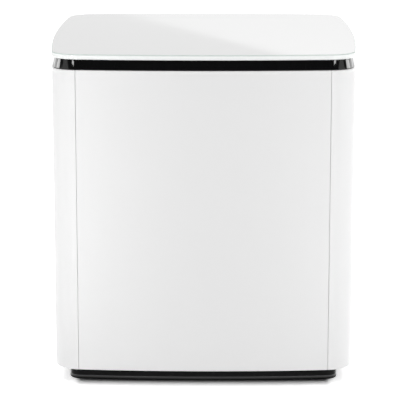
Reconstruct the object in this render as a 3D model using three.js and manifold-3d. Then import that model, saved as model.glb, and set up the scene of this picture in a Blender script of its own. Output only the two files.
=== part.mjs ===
// A wireless bass module: a bowed cube of painted panels with a glass top, standing on a low
// black plinth. A woofer fires down through the plinth, a port opens at the back, and an
// amplifier sits behind a recessed connector panel.
// Millimetres, +Z up, front towards -Y, origin on the floor under the middle of the cabinet.
import * as THREE from "three";
import { mergeVertices } from "three/addons/utils/BufferGeometryUtils.js";
import Module from "manifold-3d";

const wasm = await Module();
wasm.setup();

// ---------------------------------------------------------------- driving dimensions

const WIDTH = 295; // over the middles of two opposite sides; the depth is the same
const HEIGHT = 320;
const SIDE_BOW = 8; // how far each side swells past the straight line between its corners
const CORNER_RADIUS = 25;
const GAP = 0.3; // clearance between neighbouring pieces

const GLASS_THICKNESS = 5;
const REVEAL_HEIGHT = 10; // black band between the cabinet and the glass
const BODY_BOTTOM = 15.5; // underside of the white panels
const WALL = 9; // thickness of the painted panels
const SEAM_X = 119; // where the front and rear panels meet the side panels
const SEAM_WIDTH = 0.6;

const PLINTH_INSET = 13.3; // how far the plinth stands back from the panels
const PLINTH_UNDERSIDE = 2; // the feet hold it this far off the floor
const PLINTH_FLANGE = 3.5; // the web left above the sound slots
const SOUND_SLOT_LENGTH = 150;
const FOOT_PITCH = 208; // between foot centres
const FOOT_RADIUS = 12;
const FOOT_THICKNESS = 3.7;

const BOARD = 15; // thickness of the fibreboard at top and bottom
const WOOFER_OPENING = 118; // radius of the hole the woofer fires through
const GRILLE_RADIUS = 124.2;
const GRILLE_THICKNESS = 2;

const PORT_HEIGHT = 225; // of the port's axis above the floor
const PORT_BORE = 25; // radius
const PORT_WALL = 2.5;
const PORT_INNER_END = -105; // Y of the tube's end inside the cabinet
const FLARE_RADIUS = 20.5; // of the trumpet's curve
const FLARE_RIM = 48; // radius of the flange in the rear panel

const PANEL_WIDTH = 168; // connector panel
const PANEL_BOTTOM = 58;
const PANEL_TOP = 132;
const PANEL_LIP = 4; // how far the rear panel laps over its edge
const PANEL_FACE_Y = 139.2;
const PANEL_THICKNESS = 3;
const SOCKET_ROW_Z = 93;
const BUTTON_ROW_Z = 112;

// ---------------------------------------------------------------- solids

const HALF = WIDTH / 2;
const BODY_TOP = HEIGHT - GLASS_THICKNESS - REVEAL_HEIGHT;
const ROUND = 32; // facets round the large openings
const MIDDLE_ROUND = 24; // round the woofer's rings, a foot or a tube
const SMALL_ROUND = 12; // round a screw, pin or button
const SIDE_STEPS = 8; // facets along one bowed side
const CORNER_STEPS = 6;

function solid(geometry) {
  const bare = geometry.clone();
  bare.deleteAttribute("normal");
  bare.deleteAttribute("uv");
  const merged = mergeVertices(bare, 1e-4);
  const mesh = new wasm.Mesh({
    numProp: 3,
    vertProperties: new Float32Array(merged.attributes.position.array),
    triVerts: new Uint32Array(merged.index.array),
  });
  return new wasm.Manifold(mesh);
}

function geometryOf(body) {
  const mesh = body.getMesh();
  const geometry = new THREE.BufferGeometry();
  geometry.setAttribute("position", new THREE.BufferAttribute(mesh.vertProperties, 3));
  geometry.setIndex(new THREE.BufferAttribute(mesh.triVerts, 1));
  const faceted = geometry.toNonIndexed();
  faceted.computeVertexNormals();
  return faceted;
}

function cut(base, ...tools) {
  return geometryOf(tools.reduce((rest, tool) => rest.subtract(solid(tool)), solid(base)));
}

function join(...pieces) {
  return geometryOf(pieces.map(solid).reduce((whole, piece) => whole.add(piece)));
}

function common(a, b) {
  return geometryOf(solid(a).intersect(solid(b)));
}

// A block between two corners.
function block(low, high) {
  const size = high.map((value, axis) => value - low[axis]);
  const middle = high.map((value, axis) => (value + low[axis]) / 2);
  return new THREE.BoxGeometry(...size).translate(...middle);
}

// A flat outline with holes, raised from one height to another.
function raised(points, bottom, top, holes = []) {
  const shape = new THREE.Shape(points);
  shape.holes = holes.map((hole) => new THREE.Path(hole));
  const options = { depth: top - bottom, bevelEnabled: false };
  return new THREE.ExtrudeGeometry(shape, options).translate(0, 0, bottom);
}

// The same with its upper and lower edges eased by a small bevel.
function raisedEased(points, bottom, top, ease, steps) {
  const options = {
    depth: top - bottom - 2 * ease,
    bevelThickness: ease,
    bevelSize: ease,
    bevelOffset: -ease,
    bevelSegments: steps,
  };
  const shape = new THREE.Shape(points);
  return new THREE.ExtrudeGeometry(shape, options).translate(0, 0, bottom + ease);
}

// A ring or disc turned from [radius, height] points, listed anticlockwise, about the Z axis.
function turnedZ(profile, facets = ROUND) {
  const points = profile.map(([radius, height]) => new THREE.Vector2(radius, height));
  return new THREE.LatheGeometry(points, facets).rotateX(Math.PI / 2);
}

function ringProfile(inner, outer, bottom, top) {
  const corners = [[inner, bottom], [outer, bottom], [outer, top], [inner, top]];
  return [...corners, corners[0]];
}

function ring(inner, outer, bottom, top, facets = ROUND) {
  return turnedZ(ringProfile(inner, outer, bottom, top), facets);
}

function disc(radius, bottom, top, facets = ROUND) {
  return turnedZ([[0, bottom], [radius, bottom], [radius, top], [0, top]], facets);
}

// Turns a piece made about +Z so that its axis points to the rear, at a place on the back.
function facingRear(geometry, x, z) {
  return geometry.rotateX(-Math.PI / 2).translate(x, 0, z);
}

function arc(x, y, radius, from, to, steps) {
  return new THREE.EllipseCurve(x, y, radius, radius, from, to, to < from).getPoints(steps);
}

function arcPairs(x, y, radius, from, to, steps) {
  return arc(x, y, radius, from, to, steps).map((point) => [point.x, point.y]);
}

// ---------------------------------------------------------------- plan outline

// Each side is an arc struck from behind the middle, and each corner is tangent to two sides.
const SIDE_RADIUS = (HALF ** 2 + SIDE_BOW ** 2) / (2 * SIDE_BOW);
const SIDE_CENTRE = SIDE_RADIUS - HALF;
const CORNER_REACH = SIDE_RADIUS - CORNER_RADIUS;
const CORNER_CENTRE = (Math.sqrt(2 * CORNER_REACH ** 2 - SIDE_CENTRE ** 2) - SIDE_CENTRE) / 2;
const SIDE_END = Math.atan2(CORNER_CENTRE + SIDE_CENTRE, CORNER_CENTRE);

function planOutline(inset) {
  const points = [];
  const pivot = new THREE.Vector2();
  for (let side = 0; side < 4; side++) {
    const quarter = (side * Math.PI) / 2;
    const struck = new THREE.Vector2(0, SIDE_CENTRE).rotateAround(pivot, quarter);
    const corner = new THREE.Vector2(CORNER_CENTRE, -CORNER_CENTRE).rotateAround(pivot, quarter);
    const start = quarter - Math.PI + SIDE_END;
    const meet = quarter - SIDE_END;
    const end = quarter - Math.PI / 2 + SIDE_END;
    const along = arc(struck.x, struck.y, SIDE_RADIUS - inset, start, meet, SIDE_STEPS);
    const round = arc(corner.x, corner.y, CORNER_RADIUS - inset, meet, end, CORNER_STEPS);
    points.push(...along, ...round.slice(1, -1));
  }
  return points;
}

// ---------------------------------------------------------------- assembly

const FINISHES = {
  whitePanel: { color: 0xf2f2f0, roughness: 0.42, metalness: 0 },
  whiteGlass: { color: 0xf4f6f4, roughness: 0.05, metalness: 0 },
  glossBlack: { color: 0x0b0b0c, roughness: 0.12, metalness: 0 },
  satinBlack: { color: 0x151516, roughness: 0.5, metalness: 0 },
  fibreboard: { color: 0xa98a63, roughness: 0.8, metalness: 0 },
  rubber: { color: 0x1b1b1c, roughness: 0.85, metalness: 0 },
  paperCone: { color: 0x232325, roughness: 0.8, metalness: 0 },
  castAlloy: { color: 0x3c3d3f, roughness: 0.5, metalness: 0.6 },
  zincSteel: { color: 0xb6b8ba, roughness: 0.35, metalness: 0.9 },
  ferrite: { color: 0x2b2b2d, roughness: 0.7, metalness: 0.2 },
  copper: { color: 0xb8693a, roughness: 0.35, metalness: 0.9 },
  spiderCloth: { color: 0xc08a3e, roughness: 0.9, metalness: 0 },
  former: { color: 0xc9a24a, roughness: 0.5, metalness: 0 },
  circuitBoard: { color: 0x1f5a38, roughness: 0.5, metalness: 0 },
  aluminium: { color: 0xc3c5c8, roughness: 0.4, metalness: 0.9 },
  nickel: { color: 0xd2d2cf, roughness: 0.25, metalness: 1 },
  lens: { color: 0xe8ece8, roughness: 0.2, metalness: 0 },
  wadding: { color: 0xd9d8d2, roughness: 0.95, metalness: 0 },
};

const module = new THREE.Group();

function add(name, geometry, finish) {
  const mesh = new THREE.Mesh(geometry, new THREE.MeshStandardMaterial(FINISHES[finish]));
  mesh.name = name;
  module.add(mesh);
  return mesh;
}

const CORNERS = [
  { name: "front_left", x: -1, y: -1 },
  { name: "front_right", x: 1, y: -1 },
  { name: "rear_right", x: 1, y: 1 },
  { name: "rear_left", x: -1, y: 1 },
];

// ---------------------------------------------------------------- outer panels

// The panels are one bowed ring, parted by four seams.
const PANEL_RING = raised(planOutline(0), BODY_BOTTOM, BODY_TOP, [planOutline(WALL)]);
const FAR = WIDTH; // beyond the cabinet, for cutting blocks

function frontPanel() {
  const edge = SEAM_X - SEAM_WIDTH / 2;
  return common(PANEL_RING, block([-edge, -FAR, 0], [edge, 0, FAR + HEIGHT]));
}

function sidePanel(side) {
  const edge = SEAM_X + SEAM_WIDTH / 2;
  const low = Math.min(side * edge, side * FAR);
  const high = Math.max(side * edge, side * FAR);
  return common(PANEL_RING, block([low, -FAR, 0], [high, FAR, FAR + HEIGHT]));
}

// The rear panel has a window for the connector panel, with a flat seat behind it, and a
// round opening for the port with a flat seat for its flange.
const FLANGE_SEAT_Y = HALF - 3;
const PORT_OPENING = 44; // radius

function rearPanel() {
  const edge = SEAM_X - SEAM_WIDTH / 2;
  const blank = common(PANEL_RING, block([-edge, 0, 0], [edge, FAR, FAR + HEIGHT]));
  const half = PANEL_WIDTH / 2;
  const windowHalf = half - PANEL_LIP;
  const windowLow = [-windowHalf, 0, PANEL_BOTTOM + PANEL_LIP];
  const windowHigh = [windowHalf, FAR, PANEL_TOP - PANEL_LIP];
  const seatLow = [-half - GAP, 0, PANEL_BOTTOM - GAP];
  const seatHigh = [half + GAP, PANEL_FACE_Y + GAP, PANEL_TOP + GAP];
  const opening = facingRear(disc(PORT_OPENING, 0, FAR), 0, PORT_HEIGHT);
  const seat = facingRear(disc(FLARE_RIM + GAP, FLANGE_SEAT_Y, FAR), 0, PORT_HEIGHT);
  return cut(blank, block(windowLow, windowHigh), block(seatLow, seatHigh), opening, seat);
}

add("front_panel", frontPanel(), "whitePanel");
add("left_side_panel", sidePanel(-1), "whitePanel");
add("right_side_panel", sidePanel(1), "whitePanel");
add("rear_panel", rearPanel(), "whitePanel");

// ---------------------------------------------------------------- glass top and reveal

const TRIM_FOOT_INSET = 0.8; // the black band leans in as it rises
const TRIM_HEAD_INSET = 2.8;
const TRIM_WALL_INSET = 14;
const TRIM_FLOOR = 3;
const BOND_INSET = 5;
const BOND_THICKNESS = 1;
const GLASS_UNDERSIDE = HEIGHT - GLASS_THICKNESS;
const TRIM_BOTTOM = BODY_TOP + GAP;
const TRIM_TOP = GLASS_UNDERSIDE - GAP;

// Draws a solid in towards the middle at its top face.
function leanIn(geometry, top, share) {
  const position = geometry.attributes.position;
  for (let i = 0; i < position.count; i++) {
    if (position.getZ(i) > top - GAP) {
      position.setXY(i, position.getX(i) * share, position.getY(i) * share);
    }
  }
  return geometry;
}

function revealTrim() {
  const share = (HALF - TRIM_HEAD_INSET) / (HALF - TRIM_FOOT_INSET);
  const blank = raised(planOutline(TRIM_FOOT_INSET), TRIM_BOTTOM, TRIM_TOP);
  const tray = raised(planOutline(TRIM_WALL_INSET), TRIM_BOTTOM + TRIM_FLOOR, HEIGHT);
  const padSeat = raised(planOutline(BOND_INSET), TRIM_TOP - BOND_THICKNESS - GAP, HEIGHT);
  return cut(leanIn(blank, TRIM_TOP, share), tray, padSeat);
}

function glassBondPad() {
  const outer = planOutline(BOND_INSET + GAP);
  const inner = planOutline(TRIM_WALL_INSET - GAP);
  return raised(outer, TRIM_TOP - BOND_THICKNESS, TRIM_TOP, [inner]);
}

function topBoard() {
  return raised(planOutline(WALL + GAP), BODY_TOP - BOARD, BODY_TOP);
}

const GLASS_EASE = 0.5; // polished edge

add("glass_top", raisedEased(planOutline(0), GLASS_UNDERSIDE, HEIGHT, GLASS_EASE, 1), "whiteGlass");
add("glass_bond_pad", glassBondPad(), "rubber");
add("reveal_trim", revealTrim(), "glossBlack");
add("top_board", topBoard(), "fibreboard");

// ---------------------------------------------------------------- woofer seat and plinth

const SCREW_CIRCLE = 122; // radius
const SCREW_COUNT = 4;
const SCREW_HOLE = 2.4;
const SCREW_TIP_Z = 20;
const BAFFLE_TOP = BODY_BOTTOM + BOARD;

function onScrewCircle(make) {
  return Array.from({ length: SCREW_COUNT }, (unused, i) => {
    const angle = ((i + 0.5) * 2 * Math.PI) / SCREW_COUNT;
    return make().translate(SCREW_CIRCLE * Math.cos(angle), SCREW_CIRCLE * Math.sin(angle), 0);
  });
}

function screwHoles(bottom, top) {
  return onScrewCircle(() => disc(SCREW_HOLE, bottom, top, SMALL_ROUND));
}

function bottomBaffle() {
  const rebate = GRILLE_THICKNESS + 2 * GAP;
  return cut(
    raised(planOutline(WALL + GAP), BODY_BOTTOM, BAFFLE_TOP),
    disc(WOOFER_OPENING, 0, BAFFLE_TOP + 1),
    disc(GRILLE_RADIUS + GAP, 0, BODY_BOTTOM + rebate),
    ...screwHoles(SCREW_TIP_Z - 1, BAFFLE_TOP + 1),
  );
}

// A pressed steel guard: rings of slots parted by six straight spokes.
const GUARD_SPOKES = 6;
const GUARD_SPOKE_WIDTH = 6;
const GUARD_SLOT_RINGS = [[15, 42], [48, 77], [83, 113]];

function guardSlot(inner, outer, spoke) {
  const middle = (spoke * 2 * Math.PI) / GUARD_SPOKES;
  const halfSector = Math.PI / GUARD_SPOKES;
  const reachOut = halfSector - Math.asin(GUARD_SPOKE_WIDTH / 2 / outer);
  const reachIn = halfSector - Math.asin(GUARD_SPOKE_WIDTH / 2 / inner);
  return [
    ...arc(0, 0, outer, middle - reachOut, middle + reachOut, 6),
    ...arc(0, 0, inner, middle + reachIn, middle - reachIn, 4),
  ];
}

function wooferGrille() {
  const slots = [];
  for (const [inner, outer] of GUARD_SLOT_RINGS) {
    for (let spoke = 0; spoke < GUARD_SPOKES; spoke++) {
      slots.push(guardSlot(inner, outer, spoke));
    }
  }
  const rim = arc(0, 0, GRILLE_RADIUS, 0, 2 * Math.PI, ROUND).slice(0, -1);
  const bottom = BODY_BOTTOM + GAP;
  return raised(rim, bottom, bottom + GRILLE_THICKNESS, slots);
}

// The plinth is solid across the front and at its corners. Its other three sides are open
// below a thin web, so that the woofer's sound can leave.
const PLINTH_TOP = BODY_BOTTOM - GAP;
const PLINTH_EASE = 2.4; // rounding of the lower edge

function basePlinth() {
  const skirt = raisedEased(
    planOutline(PLINTH_INSET), PLINTH_UNDERSIDE, PLINTH_TOP, PLINTH_EASE, 2,
  );
  const half = SOUND_SLOT_LENGTH / 2;
  const slotTop = PLINTH_TOP - PLINTH_FLANGE;
  const pockets = CORNERS.map((corner) =>
    disc(FOOT_RADIUS + GAP, 0, FOOT_THICKNESS + GAP, MIDDLE_ROUND)
      .translate((corner.x * FOOT_PITCH) / 2, (corner.y * FOOT_PITCH) / 2, 0),
  );
  return cut(
    skirt,
    disc(WOOFER_OPENING, 0, PLINTH_TOP + 1),
    block([-FAR, -half, 0], [0, half, slotTop]),
    block([0, -half, 0], [FAR, half, slotTop]),
    block([-half, 0, 0], [half, FAR, slotTop]),
    ...pockets,
  );
}

function foot() {
  const ease = 0.6;
  const profile = [
    [0, 0],
    [FOOT_RADIUS - ease, 0],
    [FOOT_RADIUS, ease],
    [FOOT_RADIUS, FOOT_THICKNESS],
    [0, FOOT_THICKNESS],
  ];
  return turnedZ(profile, MIDDLE_ROUND);
}

add("bottom_baffle", bottomBaffle(), "fibreboard");
add("woofer_grille", wooferGrille(), "satinBlack");
add("base_plinth", basePlinth(), "glossBlack");
for (const corner of CORNERS) {
  const mesh = add("foot_" + corner.name, foot(), "rubber");
  mesh.position.set((corner.x * FOOT_PITCH) / 2, (corner.y * FOOT_PITCH) / 2, 0);
}

// ---------------------------------------------------------------- inner frame

// A batten stands behind each seam, shaped to the inside of the corner.
const BATTEN_INNER_X = 107;
const BATTEN_INNER_Y = 119;
const BRACE_BOTTOM = 165;
const BRACE_THICKNESS = 12;
const BRACE_WINDOW = 95; // radius
const BRACE_TOP = BRACE_BOTTOM + BRACE_THICKNESS;
const PAD_HALF = 95; // the wadding stands behind the front panel, above the brace
const PAD_FRONT_Y = -132;
const PAD_BACK_Y = -110;
const PAD_CLEARANCE = 4;

function battenSpace(corner, clearance) {
  const x = (BATTEN_INNER_X - clearance) * corner.x;
  const y = (BATTEN_INNER_Y - clearance) * corner.y;
  const low = [Math.min(x, FAR * corner.x), Math.min(y, FAR * corner.y), 0];
  const high = [Math.max(x, FAR * corner.x), Math.max(y, FAR * corner.y), FAR + HEIGHT];
  return block(low, high);
}

function batten(corner) {
  const inside = planOutline(WALL + GAP);
  const post = raised(inside, BAFFLE_TOP + GAP, BODY_TOP - BOARD - GAP);
  return common(post, battenSpace(corner, 0));
}

function crossBrace() {
  const board = raised(planOutline(WALL + GAP), BRACE_BOTTOM, BRACE_TOP);
  const corners = CORNERS.map((corner) => battenSpace(corner, GAP));
  return cut(board, disc(BRACE_WINDOW, 0, HEIGHT), ...corners);
}

function dampingPad() {
  const low = [-PAD_HALF, PAD_FRONT_Y, BRACE_TOP + PAD_CLEARANCE];
  const high = [PAD_HALF, PAD_BACK_Y, BODY_TOP - BOARD - PAD_CLEARANCE];
  return block(low, high);
}

for (const corner of CORNERS) {
  add("batten_" + corner.name, batten(corner), "fibreboard");
}
add("cross_brace", crossBrace(), "fibreboard");
add("damping_pad", dampingPad(), "wadding");

// ---------------------------------------------------------------- woofer, facing down

const GASKET_BOTTOM = BAFFLE_TOP + GAP;
const GASKET_THICKNESS = 2;
const FLANGE_BOTTOM = GASKET_BOTTOM + GASKET_THICKNESS + GAP;
const FLANGE_THICKNESS = 4.5;
const FLANGE_TOP = FLANGE_BOTTOM + FLANGE_THICKNESS;
const FLANGE_RADIUS = 127;
const LANDING_Z = FLANGE_BOTTOM + GAP; // front face of the surround's landings
const ROLL_RADIUS = 102; // middle of the surround's half roll
const ROLL_SIZE = 8;
const ROLL_SKIN = 1;
const SURROUND_EDGE = 115.3;
const CONE_EDGE = 93.7;
const CONE_KNEE = 88.5;
const CONE_RIM_Z = LANDING_Z + ROLL_SKIN + GAP;
const CONE_SKIN = 1.6;
const CONE_NECK_Z = 71.4;
const SHELF_BOTTOM = 72.7; // the spider is glued to this shelf
const SHELF_TOP = 75.2;
const SPIDER_RADIUS = 67;
const FORMER_INNER = 24.6;
const FORMER_OUTER = 25.4;
const FORMER_FOOT_Z = 66;
const FORMER_END_Z = 116;
const COIL_OUTER = 26.8;
const COIL_LENGTH = 22;
const PLATE_BORE = 27.6;
const PLATE_RADIUS = 70;
const PLATE_BOTTOM = 100.3;
const PLATE_THICKNESS = 8;
const POLE_RADIUS = 23.6;
const POLE_VENT = 8;
const MAGNET_BOTTOM = PLATE_BOTTOM + PLATE_THICKNESS + GAP;
const MAGNET_THICKNESS = 20;
const MAGNET_RADIUS = 76;
const MAGNET_BORE = 33;
const BACK_PLATE_BOTTOM = MAGNET_BOTTOM + MAGNET_THICKNESS + GAP;
const BACK_PLATE_RADIUS = 73;

function wooferGasket() {
  const band = [GASKET_BOTTOM, GASKET_BOTTOM + GASKET_THICKNESS];
  return cut(
    ring(WOOFER_OPENING - 1, FLANGE_RADIUS, ...band, MIDDLE_ROUND),
    ...screwHoles(0, HEIGHT),
  );
}

// A cast frame: flange, six legs in two tiers, a shelf for the spider and a seat for the motor.
const BASKET_LIP = 115.6; // radius inside the flange, clear of the surround
const BASKET_LEDGE = 110.4; // radius of the step that the surround is glued to
const SEAT_TOP = PLATE_BOTTOM - GAP; // the motor's top plate sits here
const SEAT_BOTTOM = SEAT_TOP - 4;
const SEAT_RADIUS = 76;
const TIER_BREAK_Z = 93; // the legs turn upright here
const BASKET_WINDOWS = [
  { half: 34, bottom: 44, top: 69 },
  { half: 22, bottom: 79, top: 91 },
];

function wooferBasket() {
  const frame = turnedZ([
    [BASKET_LIP, FLANGE_BOTTOM],
    [FLANGE_RADIUS, FLANGE_BOTTOM],
    [FLANGE_RADIUS, FLANGE_TOP],
    [BASKET_LIP + 1.2, FLANGE_TOP],
    [SEAT_RADIUS, TIER_BREAK_Z],
    [SEAT_RADIUS, SEAT_TOP],
    [PLATE_BORE + 2.4, SEAT_TOP],
    [PLATE_BORE + 2.4, SEAT_BOTTOM],
    [SEAT_RADIUS - 6.5, SEAT_BOTTOM],
    [SEAT_RADIUS - 6.5, TIER_BREAK_Z],
    [SEAT_RADIUS + 10, SHELF_TOP],
    [SPIDER_RADIUS - 8, SHELF_TOP],
    [SPIDER_RADIUS - 8, SHELF_BOTTOM],
    [SEAT_RADIUS + 12, SHELF_BOTTOM],
    [BASKET_LEDGE, CONE_RIM_Z + 7.3],
    [BASKET_LEDGE, CONE_RIM_Z],
    [BASKET_LIP, CONE_RIM_Z],
    [BASKET_LIP, FLANGE_BOTTOM],
  ], MIDDLE_ROUND);
  const windows = [];
  for (let i = 0; i < 3; i++) {
    const angle = (i * Math.PI) / 3;
    for (const { half, bottom, top } of BASKET_WINDOWS) {
      windows.push(block([-FAR, -half, bottom], [FAR, half, top]).rotateZ(angle));
    }
  }
  return cut(frame, ...windows, ...screwHoles(0, HEIGHT));
}

function wooferSurround() {
  const top = LANDING_Z + ROLL_SKIN;
  const middle = LANDING_Z + ROLL_SKIN / 2;
  const outer = ROLL_SIZE + ROLL_SKIN / 2;
  const inner = ROLL_SIZE - ROLL_SKIN / 2;
  const start = [CONE_KNEE, LANDING_Z];
  return turnedZ([
    start,
    ...arcPairs(ROLL_RADIUS, middle, outer, Math.PI, 2 * Math.PI, 6),
    [SURROUND_EDGE, LANDING_Z],
    [SURROUND_EDGE, top],
    ...arcPairs(ROLL_RADIUS, middle, inner, 2 * Math.PI, Math.PI, 6),
    [CONE_KNEE, top],
    start,
  ], MIDDLE_ROUND);
}

function wooferCone() {
  const inner = FORMER_OUTER + GAP;
  return turnedZ([
    [inner, CONE_NECK_Z],
    [CONE_KNEE - 0.5, CONE_RIM_Z],
    [CONE_EDGE, CONE_RIM_Z],
    [CONE_EDGE, CONE_RIM_Z + CONE_SKIN],
    [CONE_KNEE, CONE_RIM_Z + CONE_SKIN],
    [inner + 1.1, CONE_NECK_Z + CONE_SKIN],
    [inner, CONE_NECK_Z + CONE_SKIN],
    [inner, CONE_NECK_Z],
  ], MIDDLE_ROUND);
}

// A shallow dome that closes the cone's neck from the front.
const CAP_EDGE = 36; // radius
const CAP_EDGE_Z = 64.6;
const CAP_RISE = 10;
const CAP_SKIN = 1;

function dustCap() {
  const dome = (CAP_EDGE ** 2 + CAP_RISE ** 2) / (2 * CAP_RISE);
  const centre = CAP_EDGE_Z - CAP_RISE + dome;
  const half = Math.asin(CAP_EDGE / dome);
  const down = -Math.PI / 2;
  return turnedZ([
    ...arcPairs(0, centre, dome, down, down + half, 4),
    ...arcPairs(0, centre, dome - CAP_SKIN, down + half, down, 4),
  ], MIDDLE_ROUND);
}

// Corrugated cloth between the former and the shelf.
const SPIDER_FLAT = 60; // radius where the corrugations end
const SPIDER_RIDGES = 4;
const SPIDER_WAVE = 1.8;
const SPIDER_SKIN = 0.8;

function wooferSpider() {
  const inner = FORMER_OUTER + GAP;
  const first = inner + 3;
  const seat = SHELF_TOP + GAP;
  const half = SPIDER_SKIN / 2;
  const middle = seat + SPIDER_WAVE + 0.5;
  const turns = 2 * SPIDER_RIDGES;
  const below = [];
  const above = [];
  for (let i = 0; i < turns; i++) {
    const radius = first + ((SPIDER_FLAT - first) * i) / (turns - 1);
    const wave = i % 2 ? SPIDER_WAVE : -SPIDER_WAVE;
    below.push([radius, middle + wave - half]);
    above.unshift([radius, middle + wave + half]);
  }
  const start = [inner, middle - half];
  return turnedZ([
    start,
    ...below,
    [SPIDER_FLAT + 1.5, seat],
    [SPIDER_RADIUS, seat],
    [SPIDER_RADIUS, seat + SPIDER_SKIN],
    [SPIDER_FLAT + 2.1, seat + SPIDER_SKIN],
    ...above,
    [inner, middle + half],
    start,
  ], MIDDLE_ROUND);
}

function voiceCoilFormer() {
  return ring(FORMER_INNER, FORMER_OUTER, FORMER_FOOT_Z, FORMER_END_Z, MIDDLE_ROUND);
}

// The winding is longer than the gap it works in, and centred on it.
function voiceCoilWinding() {
  const bottom = PLATE_BOTTOM + (PLATE_THICKNESS - COIL_LENGTH) / 2;
  return ring(FORMER_OUTER + GAP, COIL_OUTER, bottom, bottom + COIL_LENGTH, MIDDLE_ROUND);
}

function topPlate() {
  const top = PLATE_BOTTOM + PLATE_THICKNESS;
  return ring(PLATE_BORE, PLATE_RADIUS, PLATE_BOTTOM, top, MIDDLE_ROUND);
}

function magnet() {
  const top = MAGNET_BOTTOM + MAGNET_THICKNESS;
  return ring(MAGNET_BORE, MAGNET_RADIUS, MAGNET_BOTTOM, top, MIDDLE_ROUND);
}

// The back plate and the pole are one turned piece with a vent through it.
function wooferBackPlate() {
  const chamfer = 2;
  const top = BACK_PLATE_BOTTOM + PLATE_THICKNESS;
  return turnedZ([
    [POLE_VENT, PLATE_BOTTOM],
    [POLE_RADIUS, PLATE_BOTTOM],
    [POLE_RADIUS, BACK_PLATE_BOTTOM],
    [BACK_PLATE_RADIUS, BACK_PLATE_BOTTOM],
    [BACK_PLATE_RADIUS, top - chamfer],
    [BACK_PLATE_RADIUS - chamfer, top],
    [POLE_VENT, top],
    [POLE_VENT, PLATE_BOTTOM],
  ], MIDDLE_ROUND);
}

// A pan-head screw along Z: the head is an eased disc on a pointed shank.
function screwProfile(tip, head, shank, headRadius, headHeight) {
  const point = 1.5;
  const ease = headHeight / 2;
  return [
    [0, tip],
    [shank, tip + point],
    [shank, head],
    [headRadius, head],
    [headRadius, head + ease],
    [headRadius - ease, head + headHeight],
    [0, head + headHeight],
  ];
}

function wooferScrew() {
  return turnedZ(screwProfile(SCREW_TIP_Z, FLANGE_TOP + GAP, 1.9, 4.2, 2.6), SMALL_ROUND);
}

// Tag block on one leg of the basket, where the lead from the amplifier arrives.
const TERMINAL_ANGLE = (5 * Math.PI) / 6;
const TERMINAL_FOOT_X = 106.5; // measured out along the leg, before the turn to its angle
const TERMINAL_FACE_X = 110;
const TERMINAL_HALF = 11;
const TERMINAL_BOTTOM = 54;
const TERMINAL_TOP = 66;
const TAG_END_X = 116;
const TAG_OFFSET = 6;
const TAG_BOTTOM = 57;
const TAG_WIDTH = 4.8;
const TAG_THICKNESS = 1;

function wooferTerminal() {
  const base = block(
    [TERMINAL_FOOT_X, -TERMINAL_HALF, TERMINAL_BOTTOM],
    [TERMINAL_FACE_X, TERMINAL_HALF, TERMINAL_TOP],
  );
  const tags = [-TAG_OFFSET, TAG_OFFSET].map((y) =>
    block(
      [TERMINAL_FACE_X - 1, y - TAG_WIDTH / 2, TAG_BOTTOM],
      [TAG_END_X, y + TAG_WIDTH / 2, TAG_BOTTOM + TAG_THICKNESS],
    ),
  );
  return join(base, ...tags).rotateZ(TERMINAL_ANGLE);
}

add("woofer_gasket", wooferGasket(), "rubber");
add("woofer_basket", wooferBasket(), "castAlloy");
add("woofer_surround", wooferSurround(), "rubber");
add("woofer_cone", wooferCone(), "paperCone");
add("woofer_dust_cap", dustCap(), "paperCone");
add("woofer_spider", wooferSpider(), "spiderCloth");
add("voice_coil_former", voiceCoilFormer(), "former");
add("voice_coil_winding", voiceCoilWinding(), "copper");
add("woofer_top_plate", topPlate(), "zincSteel");
add("woofer_magnet", magnet(), "ferrite");
add("woofer_back_plate", wooferBackPlate(), "zincSteel");
add("woofer_terminal", wooferTerminal(), "satinBlack");
onScrewCircle(wooferScrew).forEach((screw, i) => add("woofer_screw_" + (i + 1), screw, "zincSteel"));

// ---------------------------------------------------------------- port

// The trumpet's flange is let into the rear panel; its collar slips over the tube.
const COLLAR_WALL = 2.5;
const COLLAR_LENGTH = 12;
const THROAT_LIP = 2; // the bore runs this far past the trumpet's curve

function portFlare() {
  const mouth = HALF;
  const throat = mouth - FLARE_RADIUS;
  const lip = PORT_BORE + FLARE_RADIUS;
  const flangeBack = FLANGE_SEAT_Y + GAP;
  const skin = mouth - flangeBack;
  const collarInner = PORT_BORE + PORT_WALL + GAP;
  const collarOuter = collarInner + COLLAR_WALL;
  const collarStart = throat - THROAT_LIP;
  const collarEnd = collarStart - COLLAR_LENGTH;
  const rimEase = 0.5;
  const start = [PORT_BORE, collarStart];
  const profile = [
    start,
    [collarInner, collarStart],
    [collarInner, collarEnd],
    [collarOuter, collarEnd],
    [collarOuter, throat + 1],
    ...arcPairs(lip, throat, FLARE_RADIUS - skin, Math.PI - 0.15, Math.PI / 2, 4),
    [FLARE_RIM, flangeBack],
    [FLARE_RIM, mouth - rimEase],
    [FLARE_RIM - rimEase, mouth],
    ...arcPairs(lip, throat, FLARE_RADIUS, Math.PI / 2, Math.PI, 6),
    start,
  ];
  return facingRear(turnedZ(profile, MIDDLE_ROUND), 0, PORT_HEIGHT);
}

function portTube() {
  const mouthEnd = HALF - FLARE_RADIUS - THROAT_LIP - GAP;
  const tube = ring(PORT_BORE, PORT_BORE + PORT_WALL, PORT_INNER_END, mouthEnd, MIDDLE_ROUND);
  return facingRear(tube, 0, PORT_HEIGHT);
}

add("port_flare", portFlare(), "satinBlack");
add("port_tube", portTube(), "satinBlack");

// ---------------------------------------------------------------- connector panel

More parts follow.
